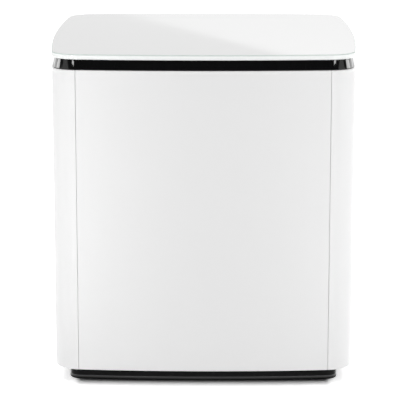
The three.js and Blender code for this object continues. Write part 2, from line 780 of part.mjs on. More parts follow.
const MAINS_X = -46;
const JACK_X = 8;
const SERVICE_X = 34;
const LIGHT_X = 34;
const BUTTON_X = 58;
const PANEL_BACK_Y = PANEL_FACE_Y - PANEL_THICKNESS;
const BEZEL_FRONT_Y = PANEL_FACE_Y + 1.8;
const BEZEL_MARGIN = 2.5;
const INLET_WIDTH = 27;
const INLET_HEIGHT = 16;
const INLET_BACK_Y = 120;
const INLET_FLOOR_Y = 127.5;
const JACK_COLLAR = 4.5;
const JACK_BORE = 1.8;
const JACK_BACK_Y = 122;
const JACK_FLOOR_Y = 126;
const SERVICE_WIDTH = 10;
const SERVICE_HEIGHT = 5;
const SERVICE_BACK_Y = 126;
const SERVICE_FLOOR_Y = 130;
const BUTTON_RADIUS = 4;
const BUTTON_BACK_Y = 131;
const BUTTON_FRONT_Y = PANEL_FACE_Y + 1.4;
const LIGHT_RADIUS = 1.6;
const PANEL_SCREW_X = 74;
const PANEL_SCREW_MARGIN = PANEL_LIP + 6;
const PANEL_SCREW_ROWS = [PANEL_BOTTOM + PANEL_SCREW_MARGIN, PANEL_TOP - PANEL_SCREW_MARGIN];

function panelHole(radius, x, z) {
  return facingRear(disc(radius, PANEL_BACK_Y - 1, PANEL_FACE_Y + 1, SMALL_ROUND), x, z);
}

function centredBlock(x, z, width, height, from, to) {
  return block([x - width / 2, from, z - height / 2], [x + width / 2, to, z + height / 2]);
}

const PANEL_SCREWS = PANEL_SCREW_ROWS.flatMap((z) => [
  { x: -PANEL_SCREW_X, z },
  { x: PANEL_SCREW_X, z },
]);

function connectorPanel() {
  const half = PANEL_WIDTH / 2;
  const plate = block([-half, PANEL_BACK_Y, PANEL_BOTTOM], [half, PANEL_FACE_Y, PANEL_TOP]);
  const inletHole = centredBlock(
    MAINS_X, SOCKET_ROW_Z, INLET_WIDTH + 2 * GAP, INLET_HEIGHT + 2 * GAP, 0, FAR,
  );
  const serviceHole = centredBlock(
    SERVICE_X, SOCKET_ROW_Z, SERVICE_WIDTH + 2 * GAP, SERVICE_HEIGHT + 2 * GAP, 0, FAR,
  );
  return cut(
    plate,
    inletHole,
    serviceHole,
    panelHole(JACK_COLLAR + GAP, JACK_X, SOCKET_ROW_Z),
    panelHole(BUTTON_RADIUS + GAP, BUTTON_X, SOCKET_ROW_Z),
    panelHole(LIGHT_RADIUS + GAP, LIGHT_X, BUTTON_ROW_Z),
    ...PANEL_SCREWS.map(({ x, z }) => panelHole(SCREW_HOLE, x, z)),
  );
}

// A two-pin appliance inlet: a block with a bezel and a figure-eight well for the plug.
const WELL_RADIUS = 4.4;
const WELL_PITCH = 11;
const WELL_WAIST = 8;
const PIN_PITCH = 8.6;
const PIN_RADIUS = 1.2;
const PIN_SETBACK = 2.5;

function inletBlock(margin, from) {
  const width = INLET_WIDTH + 2 * margin;
  const height = INLET_HEIGHT + 2 * margin;
  return centredBlock(MAINS_X, SOCKET_ROW_Z, width, height, from, BEZEL_FRONT_Y);
}

function mainsInlet() {
  const housing = inletBlock(0, INLET_BACK_Y);
  const bezel = inletBlock(BEZEL_MARGIN, PANEL_FACE_Y + GAP);
  const lobes = [-WELL_PITCH, WELL_PITCH].map((pitch) => {
    const well = disc(WELL_RADIUS, INLET_FLOOR_Y, FAR, SMALL_ROUND);
    return facingRear(well, MAINS_X + pitch / 2, SOCKET_ROW_Z);
  });
  const waist = centredBlock(MAINS_X, SOCKET_ROW_Z, WELL_PITCH, WELL_WAIST, INLET_FLOOR_Y, FAR);
  return cut(join(housing, bezel), ...lobes, waist);
}

function mainsPin(side) {
  const pin = disc(PIN_RADIUS, INLET_FLOOR_Y + GAP, BEZEL_FRONT_Y - PIN_SETBACK, SMALL_ROUND);
  return facingRear(pin, MAINS_X + (side * PIN_PITCH) / 2, SOCKET_ROW_Z);
}

function bassJack() {
  const ease = 0.4;
  const start = [JACK_BORE, JACK_FLOOR_Y];
  const profile = [
    [0, JACK_BACK_Y],
    [JACK_COLLAR, JACK_BACK_Y],
    [JACK_COLLAR, BEZEL_FRONT_Y - ease],
    [JACK_COLLAR - ease, BEZEL_FRONT_Y],
    [JACK_BORE, BEZEL_FRONT_Y],
    start,
    [0, JACK_FLOOR_Y],
  ];
  return facingRear(turnedZ(profile, SMALL_ROUND), JACK_X, SOCKET_ROW_Z);
}

function servicePort() {
  const skin = 1;
  const width = SERVICE_WIDTH;
  const height = SERVICE_HEIGHT;
  const front = PANEL_FACE_Y + 0.4;
  const shell = centredBlock(SERVICE_X, SOCKET_ROW_Z, width, height, SERVICE_BACK_Y, front);
  const mouth = [width - 2 * skin, height - 2 * skin];
  return cut(shell, centredBlock(SERVICE_X, SOCKET_ROW_Z, ...mouth, SERVICE_FLOOR_Y, FAR));
}

// The button is kept in by a collar behind the panel, and travels inwards.
function pairingButton() {
  const ease = 0.4;
  const stem = 2;
  const collar = BUTTON_RADIUS + 1.2;
  const collarTop = PANEL_BACK_Y - 0.5;
  const collarFoot = collarTop - 1.5;
  const profile = [
    [0, BUTTON_BACK_Y],
    [stem, BUTTON_BACK_Y],
    [stem, collarFoot],
    [collar, collarFoot],
    [collar, collarTop],
    [BUTTON_RADIUS, collarTop],
    [BUTTON_RADIUS, BUTTON_FRONT_Y - ease],
    [BUTTON_RADIUS - ease, BUTTON_FRONT_Y],
    [0, BUTTON_FRONT_Y],
  ];
  return facingRear(turnedZ(profile, SMALL_ROUND), BUTTON_X, SOCKET_ROW_Z);
}

function statusLight() {
  const lens = disc(LIGHT_RADIUS, PANEL_BACK_Y - 6, PANEL_FACE_Y + 0.6, SMALL_ROUND);
  return facingRear(lens, LIGHT_X, BUTTON_ROW_Z);
}

function panelScrew({ x, z }) {
  const profile = screwProfile(PANEL_BACK_Y - 6, PANEL_FACE_Y + GAP, 1.8, 3.6, 1.8);
  return facingRear(turnedZ(profile, SMALL_ROUND), x, z);
}

add("connector_panel", connectorPanel(), "satinBlack");
add("mains_inlet", mainsInlet(), "satinBlack");
add("mains_pin_left", mainsPin(-1), "nickel");
add("mains_pin_right", mainsPin(1), "nickel");
add("bass_jack", bassJack(), "satinBlack");
add("service_port", servicePort(), "nickel");
add("pairing_button", pairingButton(), "satinBlack");
add("status_light", statusLight(), "lens");
PANEL_SCREWS.forEach((place, i) => add("panel_screw_" + (i + 1), panelScrew(place), "zincSteel"));

// ---------------------------------------------------------------- amplifier

const CIRCUIT_FRONT_Y = 116;
const CIRCUIT_THICKNESS = 1.6;
const CIRCUIT_HALF = 76;
const PART_FOOT_Y = CIRCUIT_FRONT_Y - GAP; // components stand on the board, towards the front
const SINK = { left: 14, fins: 7, pitch: 8, fin: 3, base: 5, depth: 26, bottom: 104, top: 130 };
const TRANSFORMER = { x: -46, z: 116, width: 36, height: 30, depth: 30 };
const COIL_OVERHANG = 4; // the winding stands out of the transformer's core
const CAPACITOR = { radius: 9, length: 30, crimp: 1, z: 119 };
const WIRELESS_CARD = { left: 36, right: 70, bottom: 66, top: 88, thickness: 1.2 };
const SHIELD_CAN = { left: 40, right: 58, bottom: 69, top: 85, height: 3.6 };

function heatSink() {
  const { left, fins, pitch, fin, base, depth, bottom, top } = SINK;
  const right = left + (fins - 1) * pitch + fin;
  const plate = block([left, PART_FOOT_Y - base, bottom], [right, PART_FOOT_Y, top]);
  const blades = Array.from({ length: fins }, (unused, i) => {
    const from = left + i * pitch;
    return block([from, PART_FOOT_Y - depth, bottom], [from + fin, PART_FOOT_Y - 1, top]);
  });
  return join(plate, ...blades);
}

function powerTransformer() {
  const { x, z, width, height, depth } = TRANSFORMER;
  const core = centredBlock(x, z, width, height, PART_FOOT_Y - depth, PART_FOOT_Y);
  const coil = centredBlock(
    x, z, width - 2 * COIL_OVERHANG, height - 10,
    PART_FOOT_Y - depth - COIL_OVERHANG, PART_FOOT_Y - COIL_OVERHANG,
  );
  return join(core, coil);
}

function capacitor(x) {
  const { radius, length, crimp, z } = CAPACITOR;
  const can = turnedZ([
    [0, 0],
    [radius - crimp / 2, 0],
    [radius, crimp],
    [radius, length - crimp],
    [radius - crimp / 2, length],
    [0, length],
  ], SMALL_ROUND);
  return can.rotateX(Math.PI / 2).translate(x, PART_FOOT_Y, z);
}

function wirelessModule() {
  const onBoard = ({ left, right, bottom, top }, height) =>
    block([left, PART_FOOT_Y - height, bottom], [right, PART_FOOT_Y, top]);
  return join(
    onBoard(WIRELESS_CARD, WIRELESS_CARD.thickness),
    onBoard(SHIELD_CAN, SHIELD_CAN.height),
  );
}

// Insulated pair from the board down to the woofer's tags, held at both ends.
const LEAD_RADIUS = 1.8;
const LEAD_CLEARANCE = 3; // from the ends of the tags
const LEAD_BEND = [[-104, 84, 66], [-88, 104, 78], [-72, 108, 82]];
const LEAD_END = [-66, PART_FOOT_Y - 1, 82];

function wooferLead() {
  const up = new THREE.Vector3(0, 0, 1);
  const tag = new THREE.Vector3(TAG_END_X + LEAD_CLEARANCE, 0, TAG_BOTTOM + TAG_THICKNESS / 2);
  tag.applyAxisAngle(up, TERMINAL_ANGLE);
  const rise = tag.clone().add(new THREE.Vector3(-4, 6, 1));
  const points = [...LEAD_BEND, LEAD_END].map((point) => new THREE.Vector3(...point));
  const route = new THREE.CatmullRomCurve3([tag, rise, ...points]);
  const section = new THREE.Shape(arc(0, 0, LEAD_RADIUS, 0, 2 * Math.PI, 8).slice(0, -1));
  const options = { steps: 16, bevelEnabled: false, extrudePath: route };
  return new THREE.ExtrudeGeometry(section, options);
}

const circuitLow = [-CIRCUIT_HALF, CIRCUIT_FRONT_Y, PANEL_BOTTOM + 2];
const circuitHigh = [CIRCUIT_HALF, CIRCUIT_FRONT_Y + CIRCUIT_THICKNESS, PANEL_TOP - 1];
add("amplifier_board", block(circuitLow, circuitHigh), "circuitBoard");
add("amplifier_heat_sink", heatSink(), "aluminium");
add("power_transformer", powerTransformer(), "ferrite");
add("power_capacitor_1", capacitor(-16), "satinBlack");
add("power_capacitor_2", capacitor(4), "satinBlack");
add("wireless_module", wirelessModule(), "circuitBoard");
add("woofer_lead", wooferLead(), "rubber");

export default module;
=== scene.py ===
import math

import bmesh
import bpy
from mathutils import Matrix, Quaternion, Vector


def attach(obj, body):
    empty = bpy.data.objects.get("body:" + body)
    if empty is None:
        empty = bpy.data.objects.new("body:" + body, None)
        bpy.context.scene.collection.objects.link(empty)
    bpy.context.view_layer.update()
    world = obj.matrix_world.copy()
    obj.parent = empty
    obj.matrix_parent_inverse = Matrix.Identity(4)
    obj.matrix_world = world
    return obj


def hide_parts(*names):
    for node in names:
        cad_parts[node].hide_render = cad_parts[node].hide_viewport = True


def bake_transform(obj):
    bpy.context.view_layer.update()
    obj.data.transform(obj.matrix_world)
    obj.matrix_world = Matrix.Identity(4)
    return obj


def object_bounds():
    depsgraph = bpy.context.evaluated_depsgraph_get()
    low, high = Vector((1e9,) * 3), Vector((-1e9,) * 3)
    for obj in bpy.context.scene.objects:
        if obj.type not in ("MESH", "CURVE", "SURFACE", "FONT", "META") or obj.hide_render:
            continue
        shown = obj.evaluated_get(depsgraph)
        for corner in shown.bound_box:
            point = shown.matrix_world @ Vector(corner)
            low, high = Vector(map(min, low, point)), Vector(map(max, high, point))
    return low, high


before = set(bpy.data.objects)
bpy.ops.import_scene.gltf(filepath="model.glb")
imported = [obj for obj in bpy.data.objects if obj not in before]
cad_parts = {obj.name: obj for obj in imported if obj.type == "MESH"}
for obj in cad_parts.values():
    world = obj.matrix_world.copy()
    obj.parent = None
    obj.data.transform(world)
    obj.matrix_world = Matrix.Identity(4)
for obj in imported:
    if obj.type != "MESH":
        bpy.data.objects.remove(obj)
cad_low, cad_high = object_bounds()

# ---------------------------------------------------------------- studio
# A white floor sheet in a bright white room, lit softly from above, from both sides and from
# behind. Thin strips off the front corners show as streaks in a gloss, and dark cards part
# them. Behind stand two screens, one a little darker, whose fold a level gloss mirrors.

MM = 0.001
FLOOR_REACH = 14.0
# Round this footprint the floor's lift is held back: a painted shadow, narrower at the sides.
PAINTED_SHADOW_FOOTPRINT = (0.118, 0.1255)
SIDE_FADE = 4
# How the sheet's own lift comes back with distance: where from, where to, and by how much. Where
# it is held back, the floor has a painted shadow.
FLOOR_LIFTS = [(-0.002, 0.026, 0.55), (0.058, 0.095, 0.35)]
AIM = (0, 0, 0.24)
# A place, a width and height, a power in watts, whether a gloss shows it, and a roll.
LAMPS = {
    "left_strip": ((-0.177, -0.259, 0.193), (0.015, 0.296), 0.050, True),
    "right_strip": ((0.177, -0.259, 0.193), (0.015, 0.296), 0.034, True),
    "left_short_strip": ((-0.179, -0.281, 0.352), (0.026, 0.005), 0.0045, True),
    "right_short_strip": ((0.191, -0.272, 0.352), (0.026, 0.005), 0.0047, True),
    "left_slanted_strip": ((-0.95, 0.035, 0.393), (0.29, 0.02), 0.15, True, 8.6),
    "right_slanted_strip": ((0.95, 0.0, 0.40), (0.34, 0.02), 0.17, True, -8.6),
    "left_softbox": ((-0.40, -0.40, 0.30), (0.10, 0.40), 0.33, False),
    "right_softbox": ((0.50, -0.34, 0.28), (0.10, 0.40), 0.26, False),
    "left_side_softbox": ((-0.61, -0.12, 0.25), (0.20, 0.40), 0.04, False),
    "right_side_softbox": ((0.61, -0.12, 0.25), (0.20, 0.40), 0.20, False),
    "left_rear_strip": ((-0.79, 0.48, 0.32), (0.90, 0.11), 0.8, True),
    "right_rear_strip": ((0.79, 0.48, 0.32), (0.90, 0.11), 0.8, True),
    "front_softbox": ((0.1, -0.6, 1.2), (1.1, 0.8), 4.5, False),
    "top_softbox": ((0.1, -0.05, 1.35), (1.1, 0.8), 2.1, False),
    "rear_softbox": ((0.2, 1.3, 0.9), (1.0, 0.6), 4.6, False),
}
ROOM_LIGHT = 0.446
SCREENS_START = (0.5, 0.6)  # how far round to the rear the screens begin
SCREEN_SHADES = (0.84, 0.72)  # the darker screen, low down and higher up
SHADE_HEIGHTS = (0.13, 0.15)
SCREEN_FOLD = (0.2503, 0.1377, -0.9583)  # facing of the plane that parts the two screens
FOLD_BLUR = 0.0012
# What a gloss sees of the room besides white: a black card in front, and a thin one on each
# side that climbs to the front. Each is a middle and a reach in Y, then in Z, and its slope.
REFLECTED_CARDS = [
    (-0.81, 0.21, 0.255, 0.033, 0),
    (-0.15, 0.15, 0.1325, 0.007, 0.155),
]
CARD_SHADE = 0.93


def linear(hex_colour):
    """An sRGB hex colour as the linear one that a shader takes."""
    parts = [int(hex_colour[i:i + 2], 16) / 255 for i in (0, 2, 4)]
    lit = [p / 12.92 if p <= 0.04045 else ((p + 0.055) / 1.055) ** 2.4 for p in parts]
    return (*lit, 1.0)


def add_object(name, data):
    made = bpy.data.objects.new(name, data)
    bpy.context.scene.collection.objects.link(made)
    return made


def empty_tree(owner):
    """The node tree of a world or a material, with nothing in it yet."""
    owner.use_nodes = True
    owner.node_tree.nodes.clear()
    return owner.node_tree


def put(tree, kind, inputs=None, **settings):
    """Adds a node. An input is a value, an output, or a node that stands for its first one."""
    made = tree.nodes.new("ShaderNode" + kind)
    for name, value in settings.items():
        setattr(made, name, value)
    for socket, value in (inputs or {}).items():
        if isinstance(value, bpy.types.Node):
            value = value.outputs[0]
        if isinstance(value, bpy.types.NodeSocket):
            tree.links.new(value, made.inputs[socket])
        else:
            made.inputs[socket].default_value = value
    return made


def between(tree, share, low, high, start=0.3, end=0.7):
    """Goes from one value to another, or from one hex colour to another, as a share rises."""
    if isinstance(low, str):
        even = put(tree, "MapRange", {"Value": share, "From Min": start, "From Max": end})
        mixed = put(tree, "Mix", {
            "Factor": even, 6: linear(low), 7: linear(high),
        }, data_type="RGBA")
        return mixed.outputs[2]
    return put(tree, "MapRange", {
        "Value": share, "From Min": start, "From Max": end, "To Min": low, "To Max": high,
    })


def rays_that(tree, *kinds):
    """1 for the rays of any of these kinds, and 0 for the others."""
    rays = put(tree, "LightPath").outputs
    share = rays[kinds[0]]
    for kind in kinds[1:]:
        share = put(tree, "Math", {0: share, 1: rays[kind]}, operation="MAXIMUM")
    return share


def light_room():
    world = bpy.data.worlds.new("white_room")
    bpy.context.scene.world = world
    tree = empty_tree(world)
    facing = put(tree, "TexCoord").outputs["Generated"]
    toward = put(tree, "SeparateXYZ", {"Vector": facing}).outputs
    # The two rear screens meet in a sharp fold. The darker one fades a little as it rises.
    side = put(tree, "VectorMath", {0: facing, 1: SCREEN_FOLD}, operation="DOT_PRODUCT")
    shade = between(tree, toward["Z"], *SCREEN_SHADES, *SHADE_HEIGHTS)
    screens = between(tree, side.outputs["Value"], shade, 1.0, -FOLD_BLUR, FOLD_BLUR)
    shown = put(tree, "Mix", {
        "Factor": between(tree, toward["Y"], 0.0, 1.0, *SCREENS_START), "A": 1.0, "B": screens,
    })
    for back, back_reach, height, height_reach, slope in REFLECTED_CARDS:
        level = put(tree, "Math", {
            0: toward["Y"], 1: slope, 2: toward["Z"],
        }, operation="MULTIPLY_ADD")
        across, along = [
            put(tree, "Math", {0: value, 1: middle, 2: reach}, operation="COMPARE")
            for value, middle, reach in (
                (toward["Y"], back, back_reach), (level, height, height_reach),
            )
        ]
        card = put(tree, "Math", {0: across, 1: along}, operation="MULTIPLY")
        shown = put(tree, "Math", {0: card, 1: -CARD_SHADE, 2: shown}, operation="MULTIPLY_ADD")
    mirrored = rays_that(tree, "Is Glossy Ray", "Is Transmission Ray")
    dim = put(tree, "Mix", {"Factor": mirrored, "A": ROOM_LIGHT, "B": shown})
    strength = put(tree, "Mix", {"Factor": rays_that(tree, "Is Camera Ray"), "A": dim, "B": 1.0})
    sky = put(tree, "Background", {"Color": linear("FFFFFF"), "Strength": strength})
    put(tree, "OutputWorld", {"Surface": sky})


def hang_lamp(name, at, size, watts, shows_in_gloss, roll=0):
    lamp = bpy.data.lights.new(name, "AREA")
    lamp.shape = "RECTANGLE"
    lamp.size, lamp.size_y = size
    lamp.energy = watts
    holder = add_object(name, lamp)
    holder.location = at
    facing = (Vector(AIM) - Vector(at)).to_track_quat("-Z", "Y")
    holder.rotation_euler = (facing @ Quaternion((0, 0, 1), math.radians(roll))).to_euler()
    holder.visible_camera = False
    holder.visible_glossy = shows_in_gloss


def away_from_footprint(tree):
    """How far a point of the floor is from the footprint of its painted shadow, narrow at the
    sides.
    """
    sheet = put(tree, "NewGeometry").outputs["Position"]
    apart = put(tree, "VectorMath", {0: sheet}, operation="ABSOLUTE")
    apart = put(tree, "VectorMath", {
        0: apart, 1: (SIDE_FADE, 1, 0), 2: (-SIDE_FADE * PAINTED_SHADOW_FOOTPRINT[0], -PAINTED_SHADOW_FOOTPRINT[1], 0),
    }, operation="MULTIPLY_ADD")
    apart = put(tree, "VectorMath", {0: apart, 1: (0, 0, 0)}, operation="MAXIMUM")
    return put(tree, "VectorMath", {0: apart}, operation="LENGTH").outputs["Value"]


def lay_floor():
    plane = bpy.data.meshes.new("floor_sheet")
    reach = FLOOR_REACH
    corners = [(-reach, -reach, 0), (reach, -reach, 0), (reach, reach, 0), (-reach, reach, 0)]
    plane.from_pydata(corners, [], [(0, 1, 2, 3)])
    floor = add_object("floor_sheet", plane)
    paper = bpy.data.materials.new("white_paper_sweep")
    tree = empty_tree(paper)
    soft = put(tree, "BsdfDiffuse", {"Color": linear("F4F4F4")})
    # The sheet lifts itself to white where it is seen, in two steps away from the footprint, so
    # that the contact shadow stays. Held back near the footprint, the lift leaves a painted shadow
    # there.
    distance = away_from_footprint(tree)
    lifts = [
        put(tree, "MapRange", {
            "Value": distance, "From Min": near, "From Max": far, "To Max": share,
        }, interpolation_type="SMOOTHSTEP")
        for near, far, share in FLOOR_LIFTS
    ]
    lift = put(tree, "Math", {0: lifts[0], 1: lifts[1]}, operation="ADD")
    seen = rays_that(tree, "Is Camera Ray", "Is Glossy Ray", "Is Transmission Ray")
    lift = put(tree, "Math", {0: seen, 1: lift}, operation="MULTIPLY")
    glow = put(tree, "Emission", {"Color": linear("FFFFFF"), "Strength": lift})
    both = put(tree, "AddShader", {0: soft, 1: glow})
    # From below the sheet is clear, so that the underside can be looked at.
    underside = put(tree, "NewGeometry").outputs["Backfacing"]
    shown = put(tree, "MixShader", {0: underside, 1: both, 2: put(tree, "BsdfTransparent")})
    put(tree, "OutputMaterial", {"Surface": shown})
    plane.materials.append(paper)


light_room()
for name, settings in LAMPS.items():
    hang_lamp(name, *settings)
lay_floor()

# The camera looks down on the top from in front, with a long lens.
CAMERA_AT = (0.0117, -2.0555, 0.6108)
CAMERA_PITCH = 12.63
CAMERA_YAW = 0.441
LENS = 187.9
SENSOR_WIDTH = 36

bpy.context.scene.view_settings.view_transform = "Standard"
camera_data = bpy.data.cameras.new("camera")
camera_data.lens = LENS
camera_data.sensor_width = SENSOR_WIDTH
camera = add_object("camera", camera_data)
camera.location = CAMERA_AT
camera.rotation_euler = (math.radians(90 - CAMERA_PITCH), 0, math.radians(CAMERA_YAW))
bpy.context.scene.camera = camera

# ---------------------------------------------------------------- cabinet panels
# Four bowed panels of moulded board, sprayed with satin white lacquer. The two side panels
# wrap round all four corners, and meet the front and rear panels at hairline seams.

WIDTH = (cad_high.x - cad_low.x) / MM
HALF = WIDTH / 2 - 0.01  # a hair inside the solids
SIDE_BOW = 8
CORNER_RADIUS = 25
SIDE_RADIUS = (HALF ** 2 + SIDE_BOW ** 2) / (2 * SIDE_BOW)
SIDE_CENTRE = SIDE_RADIUS - HALF
CORNER_REACH = SIDE_RADIUS - CORNER_RADIUS
CORNER_CENTRE = (math.sqrt(2 * CORNER_REACH ** 2 - SIDE_CENTRE ** 2) - SIDE_CENTRE) / 2
SIDE_END = math.atan2(CORNER_CENTRE + SIDE_CENTRE, CORNER_CENTRE)
SIDE_REACH = SIDE_RADIUS * math.cos(SIDE_END)

BODY_BOTTOM = 15.5
BODY_TOP = 305.0
WALL = 9.0
SEAM_X = 119.0
SEAM_HALF = 0.14
SEAM_EASE = 0.3
PANEL_EASE = 1.0
TOP_SINK = 1.5  # the top edge rolls over more softly than the bottom one
TOP_DROP = 3.6


def turned_quarter(x, y, quarter):
    for turn in range(quarter):
        x, y = -y, x
    return x, y


def bow(quarter, positions):
    """Points along one bowed side, each with the way that it faces."""
    made = []
    for across in positions:
        angle = math.asin(across / SIDE_RADIUS)
        facing = (math.sin(angle), -math.cos(angle))
        at = (SIDE_RADIUS * facing[0], SIDE_CENTRE + SIDE_RADIUS * facing[1])
        made.append((turned_quarter(*at, quarter), turned_quarter(*facing, quarter)))
    return made


def round_corner(quarter, steps):
    """Points round the corner that follows a side."""
    made = []
    for i in range(1, steps):
        angle = -SIDE_END + (2 * SIDE_END - math.pi / 2) * i / steps
        facing = (math.cos(angle), math.sin(angle))
        at = (
            CORNER_CENTRE + CORNER_RADIUS * facing[0],
            -CORNER_CENTRE + CORNER_RADIUS * facing[1],
        )
        made.append((turned_quarter(*at, quarter), turned_quarter(*facing, quarter)))
    return made


def spaced(start, end, count):
    return [start + (end - start) * i / count for i in range(count + 1)]


def closed_plan(side_steps=40, corner_steps=20):
    """The whole outline of the cabinet in plan."""
    made = []
    for quarter in range(4):
        made += bow(quarter, spaced(-SIDE_REACH, SIDE_REACH, side_steps))
        made += round_corner(quarter, corner_steps)
    return made


def eased(corners, steps):
    """A closed outline whose [x, y, radius] corners are rounded."""
    made = []
    for i, (x, y, radius) in enumerate(corners):
        here = Vector((x, y))
        if radius == 0:
            made.append((x, y))
            continue
        before = (Vector(corners[i - 1][:2]) - here).normalized()
        after = (Vector(corners[(i + 1) % len(corners)][:2]) - here).normalized()
        half = before.angle(after) / 2
        centre = here + (before + after).normalized() * radius / math.sin(half)
        start = here + before * radius / math.tan(half) - centre
        end = here + after * radius / math.tan(half) - centre
        turn = math.atan2(start.x * end.y - start.y * end.x, start.dot(end))
        for step in range(steps + 1):
            spun = Matrix.Rotation(turn * step / steps, 2) @ start
            made.append((centre.x + spun.x, centre.y + spun.y))
    return made


def inside(at, facing, inset, height):
    """A place that lies so far in from a point of the plan."""
    return Vector((at[0] - facing[0] * inset, at[1] - facing[1] * inset, height)) * MM


def join_rows(bm, rows, closed=False):
    """Fills the way from each row of points to the next. A row closes on itself."""
    for i in range(len(rows) if closed else len(rows) - 1):
        a, b = rows[i], rows[(i + 1) % len(rows)]
        for j in range(len(a)):
            k = (j + 1) % len(a)
            bm.faces.new((a[j], a[k], b[k], b[j]))


def swept(path, outline, closed=True, end_ease=0.0):
    """A bar: a closed (inset, height) outline carried along a path in plan."""
    bm = bmesh.new()
    ends = [Vector(path[0][0]), Vector(path[-1][0])]
    rows = []
    for at, facing in path:
        sink = 0.0
        if end_ease:
            near = min((Vector(at) - end).length for end in ends)
            if near < end_ease:
                sink = end_ease - math.sqrt(end_ease ** 2 - (end_ease - near) ** 2)
        rows.append([
            bm.verts.new(inside(at, facing, inset + (sink if inset < WALL / 2 else 0), height))
            for inset, height in outline
        ])
    join_rows(bm, rows, closed)
    if not closed:
        bm.faces.new(rows[0])
        bm.faces.new(rows[-1][::-1])
    bmesh.ops.recalc_face_normals(bm, faces=bm.faces)
    return bm


def keep_flats_flat(piece):
    """Lets large faces set the shading of the small ones that round their edges."""
    weighted = piece.modifiers.new("face_weighted_normals", "WEIGHTED_NORMAL")
    weighted.weight = 100
    weighted.keep_sharp = True


def make_piece(name, bm, finishes, slot, *nodes, body="cabinet", sharp=40):
    """Makes a mesh a piece of the object. It rides on a body and stands for CAD nodes."""
    mesh = bpy.data.meshes.new(name)
    bm.to_mesh(mesh)
    bm.free()
    mesh.shade_smooth()
    mesh.set_sharp_from_angle(angle=math.radians(sharp))
    for finish in finishes if isinstance(finishes, list) else [finishes]:
        mesh.materials.append(finish)
    piece = add_object(name, mesh)
    if body:
        keep_flats_flat(piece)
        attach(piece, body)
    if nodes:
        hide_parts(*nodes)
    return piece


def dress(finish, *nodes):
    """Gives CAD nodes that stay a finish."""
    for node in nodes:
        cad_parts[node].material_slots[0].material = finish


def make_finish(name, tint, dullness, grain=None, **sockets):
    """A material. Each of its sockets is given a value, a hex colour or a pattern.

    A pattern comes with the two values or colours that it goes between. As grain it comes with
    a depth in millimetres. In the name of a socket an underscore stands for a space.
    """
    made = bpy.data.materials.new(name)
    tree = empty_tree(made)
    given = {"Base Color": tint, "Roughness": dullness}
    given.update((socket.replace("_", " "), value) for socket, value in sockets.items())
    for socket, value in given.items():
        if isinstance(value, str):
            given[socket] = linear(value)
        elif isinstance(value, tuple) and callable(value[0]):
            pattern, *ends = value
            given[socket] = between(tree, pattern(tree), *ends)
    if grain:
        pattern, depth = grain
        given["Normal"] = put(tree, "Bump", {"Height": pattern(tree), "Distance": depth * MM})
    put(tree, "OutputMaterial", {"Surface": put(tree, "BsdfPrincipled", given)})
    return made


def patches(size, detail=2.0):
    """A pattern of noise, with patches about so many millimetres across."""
    def pattern(tree):
        place = put(tree, "TexCoord").outputs["Object"]
        settings = {"Vector": place, "Scale": 1 / (size * MM), "Detail": detail}
        return put(tree, "TexNoise", settings)
    return pattern


# Sprayed and baked satin lacquer: a soft broad sheen, with faint orange peel about 2.5 mm
# across and slightly duller patches, 45 mm across, where the coat is thinner.
white_lacquer = make_finish(
    "sprayed_satin_lacquer", tint="EFEFEF", dullness=(patches(45), 0.33, 0.39),
    grain=(patches(2.5, 1.5), 0.006), IOR=1.49,
)


def panel_edge_outline():
    """The section of a panel: both of its outer edges roll over, the inner ones are square."""
    turns = [math.pi / 2 * i / 6 for i in range(7)]
    low = [
        (PANEL_EASE * (1 - math.cos(t)), BODY_BOTTOM + PANEL_EASE * (1 - math.sin(t)))
        for t in turns[::-1]
    ]
    high = [
        (TOP_SINK * (1 - math.cos(t)), BODY_TOP - TOP_DROP * (1 - math.sin(t))) for t in turns
    ]
    return [*low, *high, (WALL, BODY_TOP), (WALL, BODY_BOTTOM)]


panel_outline = panel_edge_outline()
SEAM_STEPS = [SEAM_EASE * share for share in (0, 0.12, 0.3, 0.55, 1)]
PANEL_STEPS = 60
WRAP_STEPS = 24


def front_or_rear(quarter):
    edge = SEAM_X - SEAM_HALF
    inner = edge - SEAM_EASE
    near = [-edge + step for step in SEAM_STEPS]
    across = spaced(-inner, inner, PANEL_STEPS)[1:-1]
    path = bow(quarter, near + across + [-x for x in near[::-1]])
    return swept(path, panel_outline, closed=False, end_ease=SEAM_EASE)


def side_wrap(quarter):
    edge = SEAM_X + SEAM_HALF
    near = [edge + step for step in SEAM_STEPS]
    path = bow(quarter, near) + round_corner(quarter, WRAP_STEPS)
    path += bow(quarter + 1, spaced(-SIDE_REACH, SIDE_REACH, PANEL_STEPS))
    path += round_corner(quarter + 1, WRAP_STEPS)
    path += bow(quarter + 2, [-x for x in near[::-1]])
    return swept(path, panel_outline, closed=False, end_ease=SEAM_EASE)


make_piece("front_skin", front_or_rear(0), white_lacquer, "white_panel", "front_panel")
make_piece("right_skin", side_wrap(0), white_lacquer, "white_panel", "right_side_panel")
make_piece("left_skin", side_wrap(2), white_lacquer, "white_panel", "left_side_panel")
rear_skin = make_piece("rear_skin", front_or_rear(2), white_lacquer, "white_panel", "rear_panel")

# ---------------------------------------------------------------- glass top
# A 5 mm sheet of float glass, cut to the cabinet's plan, with ground and polished edges. Its
# underside is painted white, and a ring of black bonding foam holds it to the tray below.

GLASS_BOTTOM = 315.0
GLASS_TOP = 319.99
GLASS_EASE = 0.9
# The heights over which the edge's painted shade sets in below the upper arris.
ARRIS_PAINTED_SHADE = ((GLASS_TOP - 1.2) * MM, (GLASS_TOP - 0.7) * MM)


def slab(outline_of_edge, path):
    """A flat plate: its edge outline goes round the plan, and its two faces are filled."""
    bm = bmesh.new()
    rows = [
        [bm.verts.new(inside(at, facing, inset, height)) for at, facing in path]
        for inset, height in outline_of_edge
    ]
    join_rows(bm, rows)
    bm.faces.new(rows[0][::-1])
    bm.faces.new(rows[-1])
    return bm


# Back-painted glass: the white lies under a mirror-smooth face that shows the room, with a
# hardly visible film of dust in 30 mm patches.
glass_face = make_finish(
    "back_painted_float_glass", tint="EFEFEF", dullness=(patches(30, 4), 0.015, 0.035), IOR=1.52,
)


